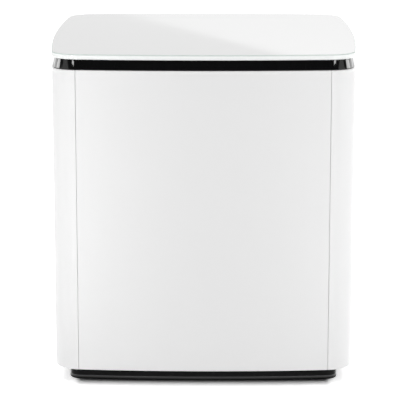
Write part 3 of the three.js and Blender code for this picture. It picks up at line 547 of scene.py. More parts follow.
def distance_along(axis):
    """A pattern that rises with the distance along an axis."""
    def pattern(tree):
        place = put(tree, "TexCoord").outputs["Object"]
        return put(tree, "SeparateXYZ", {"Vector": place}).outputs[axis]
    return pattern


# The polished edge looks into the thickness of the glass. Its colour is painted light: a painted
# highlight at the flat of the edge, and a cooler, greyer painted shade at the upper arris, where
# the light has gone further through it.
polished_edge = make_finish(
    "polished_glass_edge", tint=(distance_along("Z"), "FBFDFC", "CBD5D0", *ARRIS_PAINTED_SHADE),
    dullness=(patches(4), 0.07, 0.12), grain=(patches(0.6), 0.002), IOR=1.52,
)

plate = slab([
    (GLASS_EASE, GLASS_BOTTOM), (0, GLASS_BOTTOM + GLASS_EASE), (0, GLASS_TOP - GLASS_EASE),
    (GLASS_EASE * 0.35, GLASS_TOP - GLASS_EASE * 0.35), (GLASS_EASE, GLASS_TOP),
], closed_plan())
for face in plate.faces:
    face.material_index = 0 if len(face.verts) > 4 else 1
make_piece("glass_plate", plate, [glass_face, polished_edge], "white_glass", "glass_top", sharp=20)

# ---------------------------------------------------------------- reveal tray
# The black band under the glass is the wall of a moulded ABS tray, polished in the mould. It
# leans in as it rises and is screwed down to the top board.

REVEAL_FOOT_INSET = 0.8
REVEAL_HEAD_INSET = 2.8
GAP = 0.3  # between pieces that rest on each other or sit in each other
REVEAL_BOTTOM = BODY_TOP + GAP
REVEAL_TOP = GLASS_BOTTOM - GAP
TRAY_WALL = 14.0

# High-gloss black ABS: deep black straight on, bright at a glancing angle, with polishing
# haze in patches about 8 mm across.
black_gloss = make_finish(
    "polished_black_abs", tint="050506", dullness=(patches(8, 3), 0.03, 0.06),
    grain=(patches(14), 0.002), IOR=1.5,
)


def reveal_tray():
    outline = eased([
        (REVEAL_FOOT_INSET, REVEAL_BOTTOM, 0.3),
        (REVEAL_HEAD_INSET, REVEAL_TOP, 0.4),
        (TRAY_WALL, REVEAL_TOP, 0.3),
        (TRAY_WALL, REVEAL_BOTTOM, 0),
    ], steps=4)
    return swept(closed_plan(), outline)


make_piece("reveal_band", reveal_tray(), black_gloss, "gloss_black", "reveal_trim")

# ---------------------------------------------------------------- plinth
# A moulded ABS skirt, polished outside, screwed under the cabinet. It is solid across the
# front; its other three sides open in long slots for the woofer's sound.

PLINTH_INSET = 13.3
PLINTH_WALL = 6
PLINTH_BOTTOM = 2.0
PLINTH_TOP = 15.2
LEDGE = 0.7
LEDGE_BOTTOM = 3.9
LEDGE_TOP = 6.0
WOOFER_OPENING = 118.0
SLOT_HALF = 75.0
SLOT_TOP = PLINTH_TOP - 3.5
FOOT_RADIUS = 12.0
FOOT_THICKNESS = 3.7
FOOT_POCKET = 4
FOOT_REACH = 104.0
FOOT_PLACES = {
    "front_left": (-FOOT_REACH, -FOOT_REACH), "front_right": (FOOT_REACH, -FOOT_REACH),
    "rear_right": (FOOT_REACH, FOOT_REACH), "rear_left": (-FOOT_REACH, FOOT_REACH),
}
BELOW, ABOVE = -5, 30  # clear of the plinth
CLEAR = 200  # clear of the cabinet


def boolean(piece, operation, other):
    """Sets a piece to be joined with another object, or cut by it."""
    change = piece.modifiers.new("boolean", "BOOLEAN")
    change.operation = operation
    change.solver = "EXACT"
    change.object = other
    bpy.context.view_layer.update()


def loose_object(bm):
    mesh = bpy.data.meshes.new("part")
    bm.to_mesh(mesh)
    bm.free()
    return add_object("part", mesh)


def cut_away(piece, *tools, sharp=35):
    """Cuts tools, given as meshes, out of a piece for good."""
    piece.modifiers.clear()
    for tool in map(loose_object, tools):
        boolean(piece, "DIFFERENCE", tool)
        shape = piece.evaluated_get(bpy.context.evaluated_depsgraph_get())
        made = bpy.data.meshes.new_from_object(shape)
        piece.modifiers.clear()
        piece.data = made
        bpy.data.objects.remove(tool)
    piece.data.set_sharp_from_angle(angle=math.radians(sharp))
    keep_flats_flat(piece)


def turned(outline, facets):
    """A solid turned from a closed (radius, height) outline about the Z axis."""
    bm = bmesh.new()
    rows = []
    for i in range(facets):
        angle = 2 * math.pi * i / facets
        across, along = math.cos(angle), math.sin(angle)
        rows.append([bm.verts.new(Vector((r * across, r * along, z)) * MM) for r, z in outline])
    join_rows(bm, rows, closed=True)
    bmesh.ops.remove_doubles(bm, verts=bm.verts, dist=1e-7)
    bmesh.ops.dissolve_degenerate(bm, dist=1e-7, edges=bm.edges)
    bmesh.ops.recalc_face_normals(bm, faces=bm.faces)
    return bm


def drum(radius, low, high, facets):
    """A plain upright cylinder, as a tool to cut with."""
    return turned([(0, low), (radius, low), (radius, high), (0, high)], facets)


def bar(low, high, ease=0.0, steps=3):
    """A block between two corners in millimetres, with all its edges rounded when an ease is
    given.
    """
    bm = bmesh.new()
    bmesh.ops.create_cube(bm, size=1)
    size = Vector(high) - Vector(low)
    middle = (Vector(high) + Vector(low)) / 2
    for vert in bm.verts:
        vert.co = Vector((vert.co.x * size.x, vert.co.y * size.y, vert.co.z * size.z)) + middle
        vert.co *= MM
    if ease:
        bmesh.ops.bevel(bm, geom=bm.edges[:], offset=ease * MM, segments=steps, profile=0.5,
                        affect="EDGES")
    return bm


def moved(bm, x, y, z):
    bmesh.ops.translate(bm, verts=bm.verts, vec=Vector((x, y, z)) * MM)
    return bm


# The plinth is the same black, less polished: its skin drinks more of the white floor's
# reflection, and is hazier in patches about 10 mm across.
plinth_black = make_finish(
    "hazed_black_abs", tint=(patches(30), "040404", "070708"),
    dullness=(patches(10, 3), 0.10, 0.16), grain=(patches(14), 0.004), IOR=1.5,
    Specular_IOR_Level=0.08,
)


def plinth_skirt():
    """The wall stands back a little above a polished ledge that leans in."""
    inner = PLINTH_INSET + PLINTH_WALL
    edge = eased([
        (inner, PLINTH_BOTTOM, 0),
        (PLINTH_INSET, PLINTH_BOTTOM, 1.5),
        (PLINTH_INSET, LEDGE_BOTTOM, 0.1),
        (PLINTH_INSET + LEDGE, LEDGE_TOP, 0),
        (PLINTH_INSET + LEDGE, PLINTH_TOP, 0.4),
        (inner, PLINTH_TOP, 0),
    ], steps=6)
    bm = slab([point for point in edge if point[0] < inner - 0.01], closed_plan())
    for face in bm.faces:
        middle = face.calc_center_median().z / MM
        face.material_index = 1 if LEDGE_BOTTOM < middle < LEDGE_TOP else 0
    return bm


plinth = make_piece(
    "plinth_skirt", plinth_skirt(), [plinth_black, black_gloss], "gloss_black", "base_plinth",
)
cut_away(
    plinth,
    drum(WOOFER_OPENING, 0, ABOVE, 96),
    bar((-CLEAR, -SLOT_HALF, BELOW), (0, SLOT_HALF, SLOT_TOP)),
    bar((0, -SLOT_HALF, BELOW), (CLEAR, SLOT_HALF, SLOT_TOP)),
    bar((-SLOT_HALF, 0, BELOW), (SLOT_HALF, CLEAR, SLOT_TOP)),
    *[
        moved(drum(FOOT_RADIUS + GAP, 0, FOOT_POCKET, 48), x, y, 0)
        for x, y in FOOT_PLACES.values()
    ],
)

# ---------------------------------------------------------------- feet
# Four soft rubber pads, let into pockets under the plinth's corners. Moulded, with two rings
# on the sole for grip.

# Black rubber: dull and slightly chalky, with dust caught in a 1.5 mm mottle.
soft_rubber = make_finish(
    "moulded_black_rubber", tint=(patches(1.5, 4), "141414", "262524"),
    dullness=(patches(6), 0.62, 0.82), grain=(patches(0.5), 0.02),
)


def foot_pad():
    inner_groove = [(3.3, 0), (3.6, 0.5), (4.9, 0.5), (5.2, 0)]
    outer_groove = [(7.3, 0), (7.6, 0.5), (8.9, 0.5), (9.2, 0)]
    rim = [(FOOT_RADIUS - 0.6, 0), (FOOT_RADIUS - 0.18, 0.18), (FOOT_RADIUS, 0.6)]
    top = [(FOOT_RADIUS, FOOT_THICKNESS), (0, FOOT_THICKNESS)]
    return turned([(0, 0), *inner_groove, *outer_groove, *rim, *top], 64)


for corner, (x, y) in FOOT_PLACES.items():
    pad = moved(foot_pad(), x, y, 0)
    make_piece("foot_pad_" + corner, pad, soft_rubber, "rubber", "foot_" + corner)

# ---------------------------------------------------------------- boards and frame
# Inside are the top board, the baffle that the woofer hangs from, four battens behind the
# seams and a window brace: cut fibreboard, glued. The baffle is painted black underneath.

# Medium-density fibreboard: tan, with flecks of darker fibre about 1 mm long.
raw_board = make_finish(
    "raw_fibreboard", tint=(patches(1, 6), "8A6B48", "B8966C"), dullness=(patches(20), 0.8, 0.92),
    grain=(patches(0.8, 5), 0.05),
)


def facing_up(tree):
    """A pattern: 1 where a face looks up, and -1 where it looks down."""
    normal = put(tree, "NewGeometry").outputs["True Normal"]
    return put(tree, "SeparateXYZ", {"Vector": normal}).outputs["Z"]


# The same board rolled with matt black paint on the side that faces the floor.
painted_board = make_finish(
    "fibreboard_painted_below", tint=(facing_up, "121212", "A08058", -0.6, -0.5),
    dullness=(patches(5, 4), 0.6, 0.85), grain=(patches(1.2, 4), 0.06),
)
# Closed-cell bonding foam and gasket rubber: matt, with fine open pores.
bonding_foam = make_finish(
    "black_cell_foam", tint=(patches(0.7, 4), "0D0D0D", "232323"),
    dullness=(patches(2), 0.8, 0.97), grain=(patches(0.5, 4), 0.08),
)
dress(raw_board, "top_board", "cross_brace", *["batten_" + corner for corner in FOOT_PLACES])
dress(painted_board, "bottom_baffle")
dress(bonding_foam, "glass_bond_pad", "woofer_gasket")

# ---------------------------------------------------------------- damping pad
# A loose batt of polyester wadding, tucked in behind the front panel above the brace. It is
# soft and crowned, and dimpled where it has been tufted.

PAD_LOW = (-95, -132, 181)
PAD_HIGH = (95, -110, 286)
PAD_EASE = 9
PAD_CROWN = 0.38  # the share of its thickness that it loses towards its edges
TUFTS = [(-48, 207), (48, 207), (0, 233), (-48, 259), (48, 259)]
TUFT_PULL = 0.45
TUFT_SPREAD = 90  # in square millimetres

# White polyester fibre: matt and woolly, shaded in 3 mm tangles.
wadding = make_finish(
    "polyester_wadding", tint=(patches(3, 8), "B9B7B0", "E4E2DB"),
    dullness=(patches(9), 0.9, 1.0), grain=(patches(1.4, 8), 0.5), Sheen_Weight=0.4,
)


def wadding_batt():
    bm = bar(PAD_LOW, PAD_HIGH, ease=PAD_EASE, steps=6)
    bmesh.ops.triangulate(bm, faces=[face for face in bm.faces if len(face.verts) != 4])
    edges = [edge for edge in bm.edges if edge.calc_length() > 12 * MM]
    bmesh.ops.subdivide_edges(bm, edges=edges, cuts=14, use_grid_fill=True)
    middle = (Vector(PAD_LOW) + Vector(PAD_HIGH)) / 2 * MM
    half = (Vector(PAD_HIGH) - Vector(PAD_LOW)) / 2 * MM
    for vert in bm.verts:
        away = vert.co - middle
        across = min(1, abs(away.x) / half.x)
        along = min(1, abs(away.z) / half.z)
        crown = (math.cos(across * math.pi / 2) * math.cos(along * math.pi / 2)) ** 0.3
        near = min((vert.co.x / MM - x) ** 2 + (vert.co.z / MM - z) ** 2 for x, z in TUFTS)
        full = 1 - PAD_CROWN + PAD_CROWN * crown
        vert.co.y = middle.y + away.y * full * (1 - TUFT_PULL * math.exp(-near / TUFT_SPREAD))
    return bm


pad = make_piece("wadding_batt", wadding_batt(), wadding, "wadding", "damping_pad", sharp=180)

# ---------------------------------------------------------------- woofer guard
# A pressed steel guard sunk into the baffle, with three rings of slots between six spokes. It
# is powder-coated black.

GUARD_RADIUS = 124.2
GUARD_LOW, GUARD_HIGH = 15.8, 17.8
GUARD_SPOKES = 6
GUARD_SPOKE_WIDTH = 6
GUARD_SLOT_RINGS = [(15, 42), (48, 77), (83, 113)]
GUARD_SLOT_CORNER = 1.6

# Black powder coat: satin, with the leathery texture, about 0.8 mm across, that it cures to.
powder_coat = make_finish(
    "black_powder_coat", tint=(patches(12), "0E0E0F", "151516"),
    dullness=(patches(3), 0.42, 0.55), grain=(patches(0.8), 0.03),
)


def prism(outline, low, high):
    """An upright block over an outline in plan."""
    bm = bmesh.new()
    face = bm.faces.new([bm.verts.new(Vector((x, y, low)) * MM) for x, y in outline])
    grown = bmesh.ops.extrude_face_region(bm, geom=[face])
    top = [item for item in grown["geom"] if isinstance(item, bmesh.types.BMVert)]
    bmesh.ops.translate(bm, verts=top, vec=Vector((0, 0, (high - low) * MM)))
    bmesh.ops.recalc_face_normals(bm, faces=bm.faces)
    return bm


def guard_slot(inner, outer, spoke, steps=10):
    middle = spoke * 2 * math.pi / GUARD_SPOKES
    reaches = [
        math.pi / GUARD_SPOKES - math.asin((GUARD_SPOKE_WIDTH / 2) / radius)
        for radius in (inner, outer)
    ]
    ring = []
    for radius, reach, way in ((outer, reaches[1], 1), (inner, reaches[0], -1)):
        for angle in spaced(middle - way * reach, middle + way * reach, steps):
            ring.append((radius * math.cos(angle), radius * math.sin(angle)))
    corners = (0, steps, steps + 1, 2 * steps + 1)
    slot = eased([
        (x, y, GUARD_SLOT_CORNER if i in corners else 0) for i, (x, y) in enumerate(ring)
    ], steps=4)
    return prism(slot, GUARD_LOW - 5, GUARD_HIGH + 5)


guard_edge = eased([
    (0, GUARD_LOW, 0), (GUARD_RADIUS, GUARD_LOW, 0.5), (GUARD_RADIUS, GUARD_HIGH, 0.5),
    (0, GUARD_HIGH, 0),
], steps=3)
guard = make_piece(
    "woofer_guard", turned(guard_edge, 144), powder_coat, "grille_steel", "woofer_grille",
)
cut_away(guard, *[
    guard_slot(*ring, spoke) for ring in GUARD_SLOT_RINGS for spoke in range(GUARD_SPOKES)
])

# ---------------------------------------------------------------- woofer, moving parts
# The cone, its cap and the coil on its former slide together along the woofer's axis. The
# cone and the cap are pressed paper pulp; the surround is moulded rubber and the spider is
# corrugated cloth, both held by the frame at their outer edge and by the cone at the other.

LANDING_Z = 33.4
ROLL_RADIUS = 102.0
ROLL_SIZE = 8.0
ROLL_SKIN = 1.0
SURROUND_EDGE = 115.3
CONE_KNEE = 88.5
CONE_EDGE = 93.7
CONE_RIM_Z = 34.7
CONE_SKIN = 1.6
CONE_BELLY = 1.1
CONE_SET_OUT = 1.1  # how much wider the back of the wall is than its front
CONE_NECK = 25.7
CONE_NECK_Z = 71.4
CAP_EDGE = 36.0
CAP_EDGE_Z = 64.6
CAP_RISE = 10.0
SPIDER_EDGE = 67.0
SPIDER_FLAT = 60.0
SPIDER_SEAT_Z = 75.5
SPIDER_WAVE = 1.8
SPIDER_RIDGES = 4
SPIDER_START = CONE_NECK + 3
SPIDER_HALF_SKIN = 0.4
WAVE_LENGTH = 2 * math.pi / 20  # of the wave texture, at a scale of 1

# Pressed pulp, dyed charcoal: matt, with pale fibres in a 2 mm tangle.
paper_pulp = make_finish(
    "charcoal_paper_pulp", tint=(patches(2, 9), "1B1B1C", "3A3937", 0.35, 0.75),
    dullness=(patches(7), 0.7, 0.9), grain=(patches(1.2, 8), 0.12),
)
# Butyl rubber: soft sheen, slightly uneven where it was pulled from the mould.
surround_rubber = make_finish(
    "butyl_surround_rubber", tint=(patches(10), "111112", "1A1A1B"),
    dullness=(patches(4), 0.38, 0.52), grain=(patches(3), 0.03),
)


def ridges(pitch, ways, wander=0.0):
    """A pattern of ridges so many millimetres apart, one set for each way that they follow."""
    def pattern(tree):
        place = put(tree, "TexCoord").outputs["Object"]
        scale = WAVE_LENGTH / (pitch * MM)
        settings = {"Vector": place, "Scale": scale, "Distortion": wander}
        sets = [put(tree, "TexWave", settings, bands_direction=way) for way in ways]
        # A single set is put against itself, which changes nothing.
        return put(tree, "Math", {0: sets[0], 1: sets[-1]}, operation="MAXIMUM")
    return pattern


# Resin-dipped cotton cloth: tan threads 1.1 mm apart with darker gaps between them.
spider_cloth = make_finish(
    "resin_dipped_cotton", tint=(ridges(1.1, "XY", 0.6), "6E5227", "C79B55", 0.2, 0.9),
    dullness=(patches(5), 0.7, 0.85), grain=(ridges(1.1, "XY", 0.6), 0.15),
)
# Amber polyimide film over the coil's former: smooth and warm.
amber_film = make_finish(
    "amber_polyimide_film", tint=(patches(15), "8E5A17", "B07A26"),
    dullness=(patches(3), 0.2, 0.32),
)

# Enamelled copper wire, close wound: 0.4 mm turns, each with a highlight painted into its colour.
copper_wire = make_finish(
    "enamelled_copper_wire", tint=(ridges(0.4, "Z"), "7A3A17", "C9713A", 0.1, 0.9),
    dullness=(patches(2), 0.28, 0.38), grain=(ridges(0.4, "Z"), 0.15), Metallic=1.0,
)
dress(amber_film, "voice_coil_former")
dress(copper_wire, "voice_coil_winding")


def bent(x, z, radius, start, end, steps):
    """Points on an arc in a (radius, height) outline. Angles are in degrees."""
    turns = spaced(math.radians(start), math.radians(end), steps)
    return [(x + radius * math.cos(t), z + radius * math.sin(t)) for t in turns]


def woofer_cone():
    depth = CONE_NECK_Z - CONE_RIM_Z
    span = CONE_KNEE - 0.5 - CONE_NECK
    front, back = [], []
    for share in spaced(0, 1, 12):
        # The wall bellies towards the floor a little between its neck and its edge.
        z = CONE_NECK_Z - depth * share - CONE_BELLY * math.sin(math.pi * share)
        front.append((CONE_NECK + span * share, z))
        back.append((CONE_NECK + CONE_SET_OUT + span * share, z + CONE_SKIN))
    edge = [(CONE_EDGE, CONE_RIM_Z), (CONE_EDGE, CONE_RIM_Z + CONE_SKIN)]
    return turned([*front, *edge, *back[::-1], (CONE_NECK, CONE_NECK_Z + CONE_SKIN)], 128)


def dust_cap():
    dome = (CAP_EDGE ** 2 + CAP_RISE ** 2) / (2 * CAP_RISE)
    centre = CAP_EDGE_Z - CAP_RISE + dome
    reach = math.degrees(math.asin(CAP_EDGE / dome))
    front = bent(0, centre, dome, -90, -90 + reach, 12)
    back = bent(0, centre, dome - 1, -90 + reach, -90, 12)
    return turned([(0, front[0][1]), *front[1:], *back[:-1], (0, back[-1][1])], 96)


for name, shape, node in (
    ("pulp_cone", woofer_cone(), "woofer_cone"), ("pulp_cap", dust_cap(), "woofer_dust_cap"),
):
    make_piece(name, shape, paper_pulp, "cone_paper", node, body="woofer_moving")


def flexing_ring(name, outline, finish, slot, node):
    """A turned ring between the frame and the cone.

    Its points are laid out on one ray while its placing is baked in, then put back.
    """
    piece = make_piece(name, turned(outline, 128), finish, slot, node, body=None)
    rings = [vert.co.copy() for vert in piece.data.vertices]
    for vert in piece.data.vertices:
        vert.co = (math.hypot(vert.co.x, vert.co.y), 0, vert.co.z)
    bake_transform(piece)
    for vert, place in zip(piece.data.vertices, rings):
        vert.co = place


def surround_roll():
    middle = LANDING_Z + ROLL_SKIN / 2
    outer = bent(ROLL_RADIUS, middle, ROLL_SIZE + ROLL_SKIN / 2, 180, 360, 20)
    inner = bent(ROLL_RADIUS, middle, ROLL_SIZE - ROLL_SKIN / 2, 360, 180, 20)
    low, high = LANDING_Z, LANDING_Z + ROLL_SKIN
    return [
        (CONE_KNEE, low), *outer, (SURROUND_EDGE, low), (SURROUND_EDGE, high), *inner,
        (CONE_KNEE, high),
    ]


def spider_folds():
    middle = SPIDER_SEAT_Z + SPIDER_WAVE + 0.5
    low, high = middle - SPIDER_HALF_SKIN, middle + SPIDER_HALF_SKIN
    below, above = [], []
    for share in spaced(0, 1, 56):
        radius = SPIDER_START + (SPIDER_FLAT - SPIDER_START) * share
        wave = -SPIDER_WAVE * math.cos(share * math.pi * (2 * SPIDER_RIDGES - 1))
        below.append((radius, low + wave))
        above.append((radius, high + wave))
    seat = [
        (SPIDER_FLAT + 1.5, SPIDER_SEAT_Z), (SPIDER_EDGE, SPIDER_SEAT_Z),
        (SPIDER_EDGE, SPIDER_SEAT_Z + 0.8), (SPIDER_FLAT + 2.1, SPIDER_SEAT_Z + 0.8),
    ]
    return [(CONE_NECK, low), *below, *seat, *above[::-1], (CONE_NECK, high)]


flexing_ring(
    "rubber_surround", surround_roll(), surround_rubber, "rubber", "woofer_surround",
)
flexing_ring(
    "cloth_spider", spider_folds(), spider_cloth, "spider_cloth", "woofer_spider",
)

# ---------------------------------------------------------------- woofer, fixed parts
# The frame is a light-alloy casting. On it sit the motor, a ferrite ring between two steel
# plates, and a tag block from which an insulated pair runs to the amplifier.

# Sand-cast light alloy: grey and slightly grainy, with darker skin in 25 mm patches.
cast_alloy = make_finish(
    "shot_blasted_light_alloy", tint=(patches(25, 4), "8C8E90", "ABADAF"),
    dullness=(patches(4), 0.45, 0.6), grain=(patches(0.7, 4), 0.05), Metallic=1.0,
)
# Zinc-plated steel, passivated: a bright grey with faint warm and cool clouds 12 mm across.
zinc_plate = make_finish(
    "passivated_zinc_plate", tint=(patches(12, 4), "B4B8BE", "CFCBBD"),
    dullness=(patches(3), 0.25, 0.4), grain=(patches(1.5), 0.006), Metallic=1.0,
)
# Sintered ferrite: a charcoal ceramic, ground flat and faintly pitted.
sintered_ferrite = make_finish(
    "sintered_ferrite", tint=(patches(6, 5), "232426", "38393C"),
    dullness=(patches(2, 3), 0.45, 0.65), grain=(patches(0.6, 3), 0.03),
)
# Plasticised PVC sleeving: black and slightly waxy.
pvc_sleeve = make_finish(
    "black_pvc_sleeving", tint=(patches(8), "121214", "1E1E20"),
    dullness=(patches(2), 0.32, 0.46), grain=(patches(4), 0.02),
)
dress(cast_alloy, "woofer_basket")
dress(zinc_plate, "woofer_top_plate", "woofer_back_plate")
dress(zinc_plate, *["woofer_screw_%d" % number for number in range(1, 5)])
dress(sintered_ferrite, "woofer_magnet")
dress(pvc_sleeve, "woofer_lead")

# ---------------------------------------------------------------- bass port
# A moulded tube with a trumpet mouth, glued together. The trumpet's rim is let into the rear
# panel, and its bore is open right through to the inside.

PORT_Z = 225.0
PORT_BORE = 25.0
PORT_WALL = 2.5
PORT_OPENING = 44.0
FLARE_RADIUS = 20.5
FLARE_RIM = 48.0
FLANGE_SEAT_Y = 144.5
PORT_INNER_END = -105.0

# Satin black polypropylene, straight from a fine spark-eroded mould: a grain of about 0.5 mm
# breaks up its highlights.
grained_black = make_finish(
    "spark_grained_black_plastic", tint=(patches(18), "101011", "171718"),
    dullness=(patches(5), 0.4, 0.5), grain=(patches(0.5, 3), 0.02),
)
dress(grained_black, "woofer_terminal")


def facing_rear(bm, x=0.0, z=0.0):
    """Turns a mesh so that its height runs to the rear, then moves it across and up."""
    bmesh.ops.rotate(bm, verts=bm.verts, matrix=Matrix.Rotation(-math.pi / 2, 3, "X"))
    return moved(bm, x, 0, z)


def port_trumpet():
    mouth = HALF
    throat = mouth - FLARE_RADIUS
    lip = PORT_BORE + FLARE_RADIUS
    back = FLANGE_SEAT_Y + GAP
    skin = mouth - back
    stop = throat - 2
    collar = 27.8
    collar_end = stop - 12
    skin_start = 171.4  # degrees: there the back of the trumpet meets the collar
    outline = [
        (PORT_BORE, stop), (collar, stop), (collar, collar_end),
        (collar + PORT_WALL, collar_end), (collar + PORT_WALL, throat + 1),
        *bent(lip, throat, FLARE_RADIUS - skin, skin_start, 90, 12),
        (FLARE_RIM, back), (FLARE_RIM, mouth - 0.5), (FLARE_RIM - 0.15, mouth - 0.15),
        (FLARE_RIM - 0.5, mouth),
        *bent(lip, throat, FLARE_RADIUS, 90, 180, 20),
    ]
    return facing_rear(turned(outline, 128), 0, PORT_Z)


def port_pipe():
    start, end = PORT_INNER_END, HALF - FLARE_RADIUS - 2 - GAP
    outline = eased([
        (PORT_BORE, start, 1.1), (PORT_BORE + PORT_WALL, start, 1.1),
        (PORT_BORE + PORT_WALL, end, 0.2), (PORT_BORE, end, 0.2),
    ], steps=4)
    return facing_rear(turned(outline, 96), 0, PORT_Z)


make_piece("port_trumpet", port_trumpet(), grained_black, "satin_black", "port_flare")
make_piece("port_pipe", port_pipe(), grained_black, "satin_black", "port_tube")

# ---------------------------------------------------------------- connector plate
# The rear panel has a window with a moulded plate behind it, held by four screws. The plate
# carries a two-pin mains inlet, a bass lead jack, a service socket, a pairing button and a
# status light.

PLATE_HALF = 84.0
PLATE_LOW, PLATE_HIGH = 58.0, 132.0
PLATE_BACK, PLATE_FACE = 136.2, 139.2
PLATE_LIP = 4.0
MAINS_X = -46.0
JACK_X = 8.0
SERVICE_X = 34.0
BUTTON_X = 58.0
LIGHT_X = 34.0
SOCKET_Z = 93.0
LIGHT_Z = 112.0
PLATE_SCREWS = [(-74, 68), (74, 68), (-74, 122), (74, 122)]
BEZEL_FRONT = PLATE_FACE + 1.8
INLET_SIZE, BEZEL_SIZE = (27, 16), (32, 21)
SERVICE_SIZE, SERVICE_MOUTH = (10, 5), (8, 3)
INLET_BACK = 120
WELL_FLOOR = 127.5
JACK_BACK, JACK_FLOOR = 122, 126
SERVICE_BACK, SERVICE_FLOOR = 126, 130
SCREW_HEAD = PLATE_FACE + GAP
SCREW_TOP = SCREW_HEAD + 1.8
CUT_FROM, CUT_TO = 100, 160  # clear of the plate

cut_away(
    rear_skin,
    bar(
        (-PLATE_HALF - GAP, 0, PLATE_LOW - GAP),
        (PLATE_HALF + GAP, PLATE_FACE + GAP, PLATE_HIGH + GAP),
    ),
    bar(
        (-PLATE_HALF + PLATE_LIP, CUT_FROM, PLATE_LOW + PLATE_LIP),
        (PLATE_HALF - PLATE_LIP, CLEAR, PLATE_HIGH - PLATE_LIP),
        ease=1.0,
    ),
    facing_rear(drum(PORT_OPENING, CUT_FROM, CLEAR, 128), 0, PORT_Z),
    facing_rear(drum(FLARE_RIM + GAP, FLANGE_SEAT_Y, CLEAR, 128), 0, PORT_Z),
)


def socket_hole(x, z, radius):
    return facing_rear(drum(radius, PLATE_BACK - 1, PLATE_FACE + 1, 48), x, z)


def standing_block(x, z, size, start, end, ease=0.0, grown=0.0):
    across, up = [(side + grown) / 2 for side in size]
    return bar((x - across, start, z - up), (x + across, end, z + up), ease)


plate_piece = make_piece(
    "connector_plate",
    bar((-PLATE_HALF, PLATE_BACK, PLATE_LOW), (PLATE_HALF, PLATE_FACE, PLATE_HIGH), ease=0.4),
    grained_black, "satin_black", "connector_panel",
)
cut_away(
    plate_piece,
    standing_block(MAINS_X, SOCKET_Z, INLET_SIZE, CUT_FROM, CUT_TO, grown=2 * GAP),
    standing_block(SERVICE_X, SOCKET_Z, SERVICE_SIZE, CUT_FROM, CUT_TO, grown=2 * GAP),
    socket_hole(JACK_X, SOCKET_Z, 4.8),
    socket_hole(BUTTON_X, SOCKET_Z, 4.3),
    socket_hole(LIGHT_X, LIGHT_Z, 1.9),
    *[socket_hole(x, z, 2.1) for x, z in PLATE_SCREWS],
)


def welded(first, second):
    """Two meshes that touch, as one closed mesh."""
    pieces = [loose_object(first), loose_object(second)]
    boolean(pieces[0], "UNION", pieces[1])
    made = bmesh.new()
    made.from_object(pieces[0], bpy.context.evaluated_depsgraph_get())
    for piece in pieces:
        bpy.data.objects.remove(piece)
    return made


# Glass-filled nylon: black, a little glossier than the plate and faintly mottled.
filled_nylon = make_finish(
    "glass_filled_nylon", tint=(patches(1.6, 5), "0B0B0C", "161617"),
    dullness=(patches(2), 0.26, 0.38), grain=(patches(0.9, 3), 0.01),
)
# The inlet is a plain moulded block with a bezel. Its well takes a figure-eight plug.
inlet = make_piece(
    "figure_eight_inlet",
    welded(
        standing_block(MAINS_X, SOCKET_Z, INLET_SIZE, INLET_BACK, PLATE_FACE + 1),
        standing_block(MAINS_X, SOCKET_Z, BEZEL_SIZE, PLATE_FACE + GAP, BEZEL_FRONT, ease=0.6),
    ),
    filled_nylon, "satin_black", "mains_inlet",
)
well = [
    (MAINS_X + side * 5.5 + 4.4 * math.cos(angle), -SOCKET_Z + 4.4 * math.sin(angle))
    for side, turns in ((1, (-1.14, 1.14)), (-1, (2.0, 4.28)))
    for angle in spaced(*turns, 16)
]
cut_away(inlet, facing_rear(prism(well, WELL_FLOOR, CUT_TO)))

# Nickel plate over brass: a warm bright metal with fine wear marks.
nickel_plate = make_finish(
    "nickel_plate", tint=(patches(5, 4), "C3BDB0", "D8D3C8"), dullness=(patches(1), 0.16, 0.28),
    grain=(patches(0.8), 0.003), Metallic=1.0,
)
for side, x in (("left", -4.3), ("right", 4.3)):
    pin_end = BEZEL_FRONT - 2.5
    pin_back = WELL_FLOOR + GAP
    pin = turned([
        (0, pin_back), (1.2, pin_back), (1.2, pin_end - 0.9), (1.0, pin_end - 0.35),
        (0.55, pin_end - 0.06), (0, pin_end),
    ], 32)
    make_piece(
        "inlet_pin_" + side, facing_rear(pin, MAINS_X + x, SOCKET_Z), nickel_plate, "nickel",
        "mains_pin_" + side,
    )

jack = turned([
    (0, JACK_BACK), (4.5, JACK_BACK), (4.5, BEZEL_FRONT - 0.5), (4.35, BEZEL_FRONT - 0.15),
    (4.0, BEZEL_FRONT), (2.6, BEZEL_FRONT), (1.95, BEZEL_FRONT - 0.5), (1.8, BEZEL_FRONT - 0.9),
    (1.8, JACK_FLOOR), (0, JACK_FLOOR),
], 64)
make_piece(
    "bass_lead_jack", facing_rear(jack, JACK_X, SOCKET_Z), filled_nylon, "satin_black",
    "bass_jack",
)

service = make_piece(
    "service_socket",
    standing_block(SERVICE_X, SOCKET_Z, SERVICE_SIZE, SERVICE_BACK, PLATE_FACE + 0.4, ease=0.35),
    nickel_plate, "nickel", "service_port",
)
cut_away(service, standing_block(SERVICE_X, SOCKET_Z, SERVICE_MOUTH, SERVICE_FLOOR, CUT_TO))

# The button has a stem, a flange that keeps it in and a dished face.
button = turned([
    (0, 131), (2, 131), (2, 134.2), (5.2, 134.2), (5.2, 135.7), (4, 135.7), (4, 140.1),
    (3.88, 140.45), (3.6, 140.6), (2.9, 140.56), (2.0, 140.42), (1.0, 140.32), (0, 140.28),
], 64)
make_piece(
    "pairing_key", facing_rear(button, BUTTON_X, SOCKET_Z), filled_nylon, "satin_black",
    "pairing_button", body="pairing_button",
)

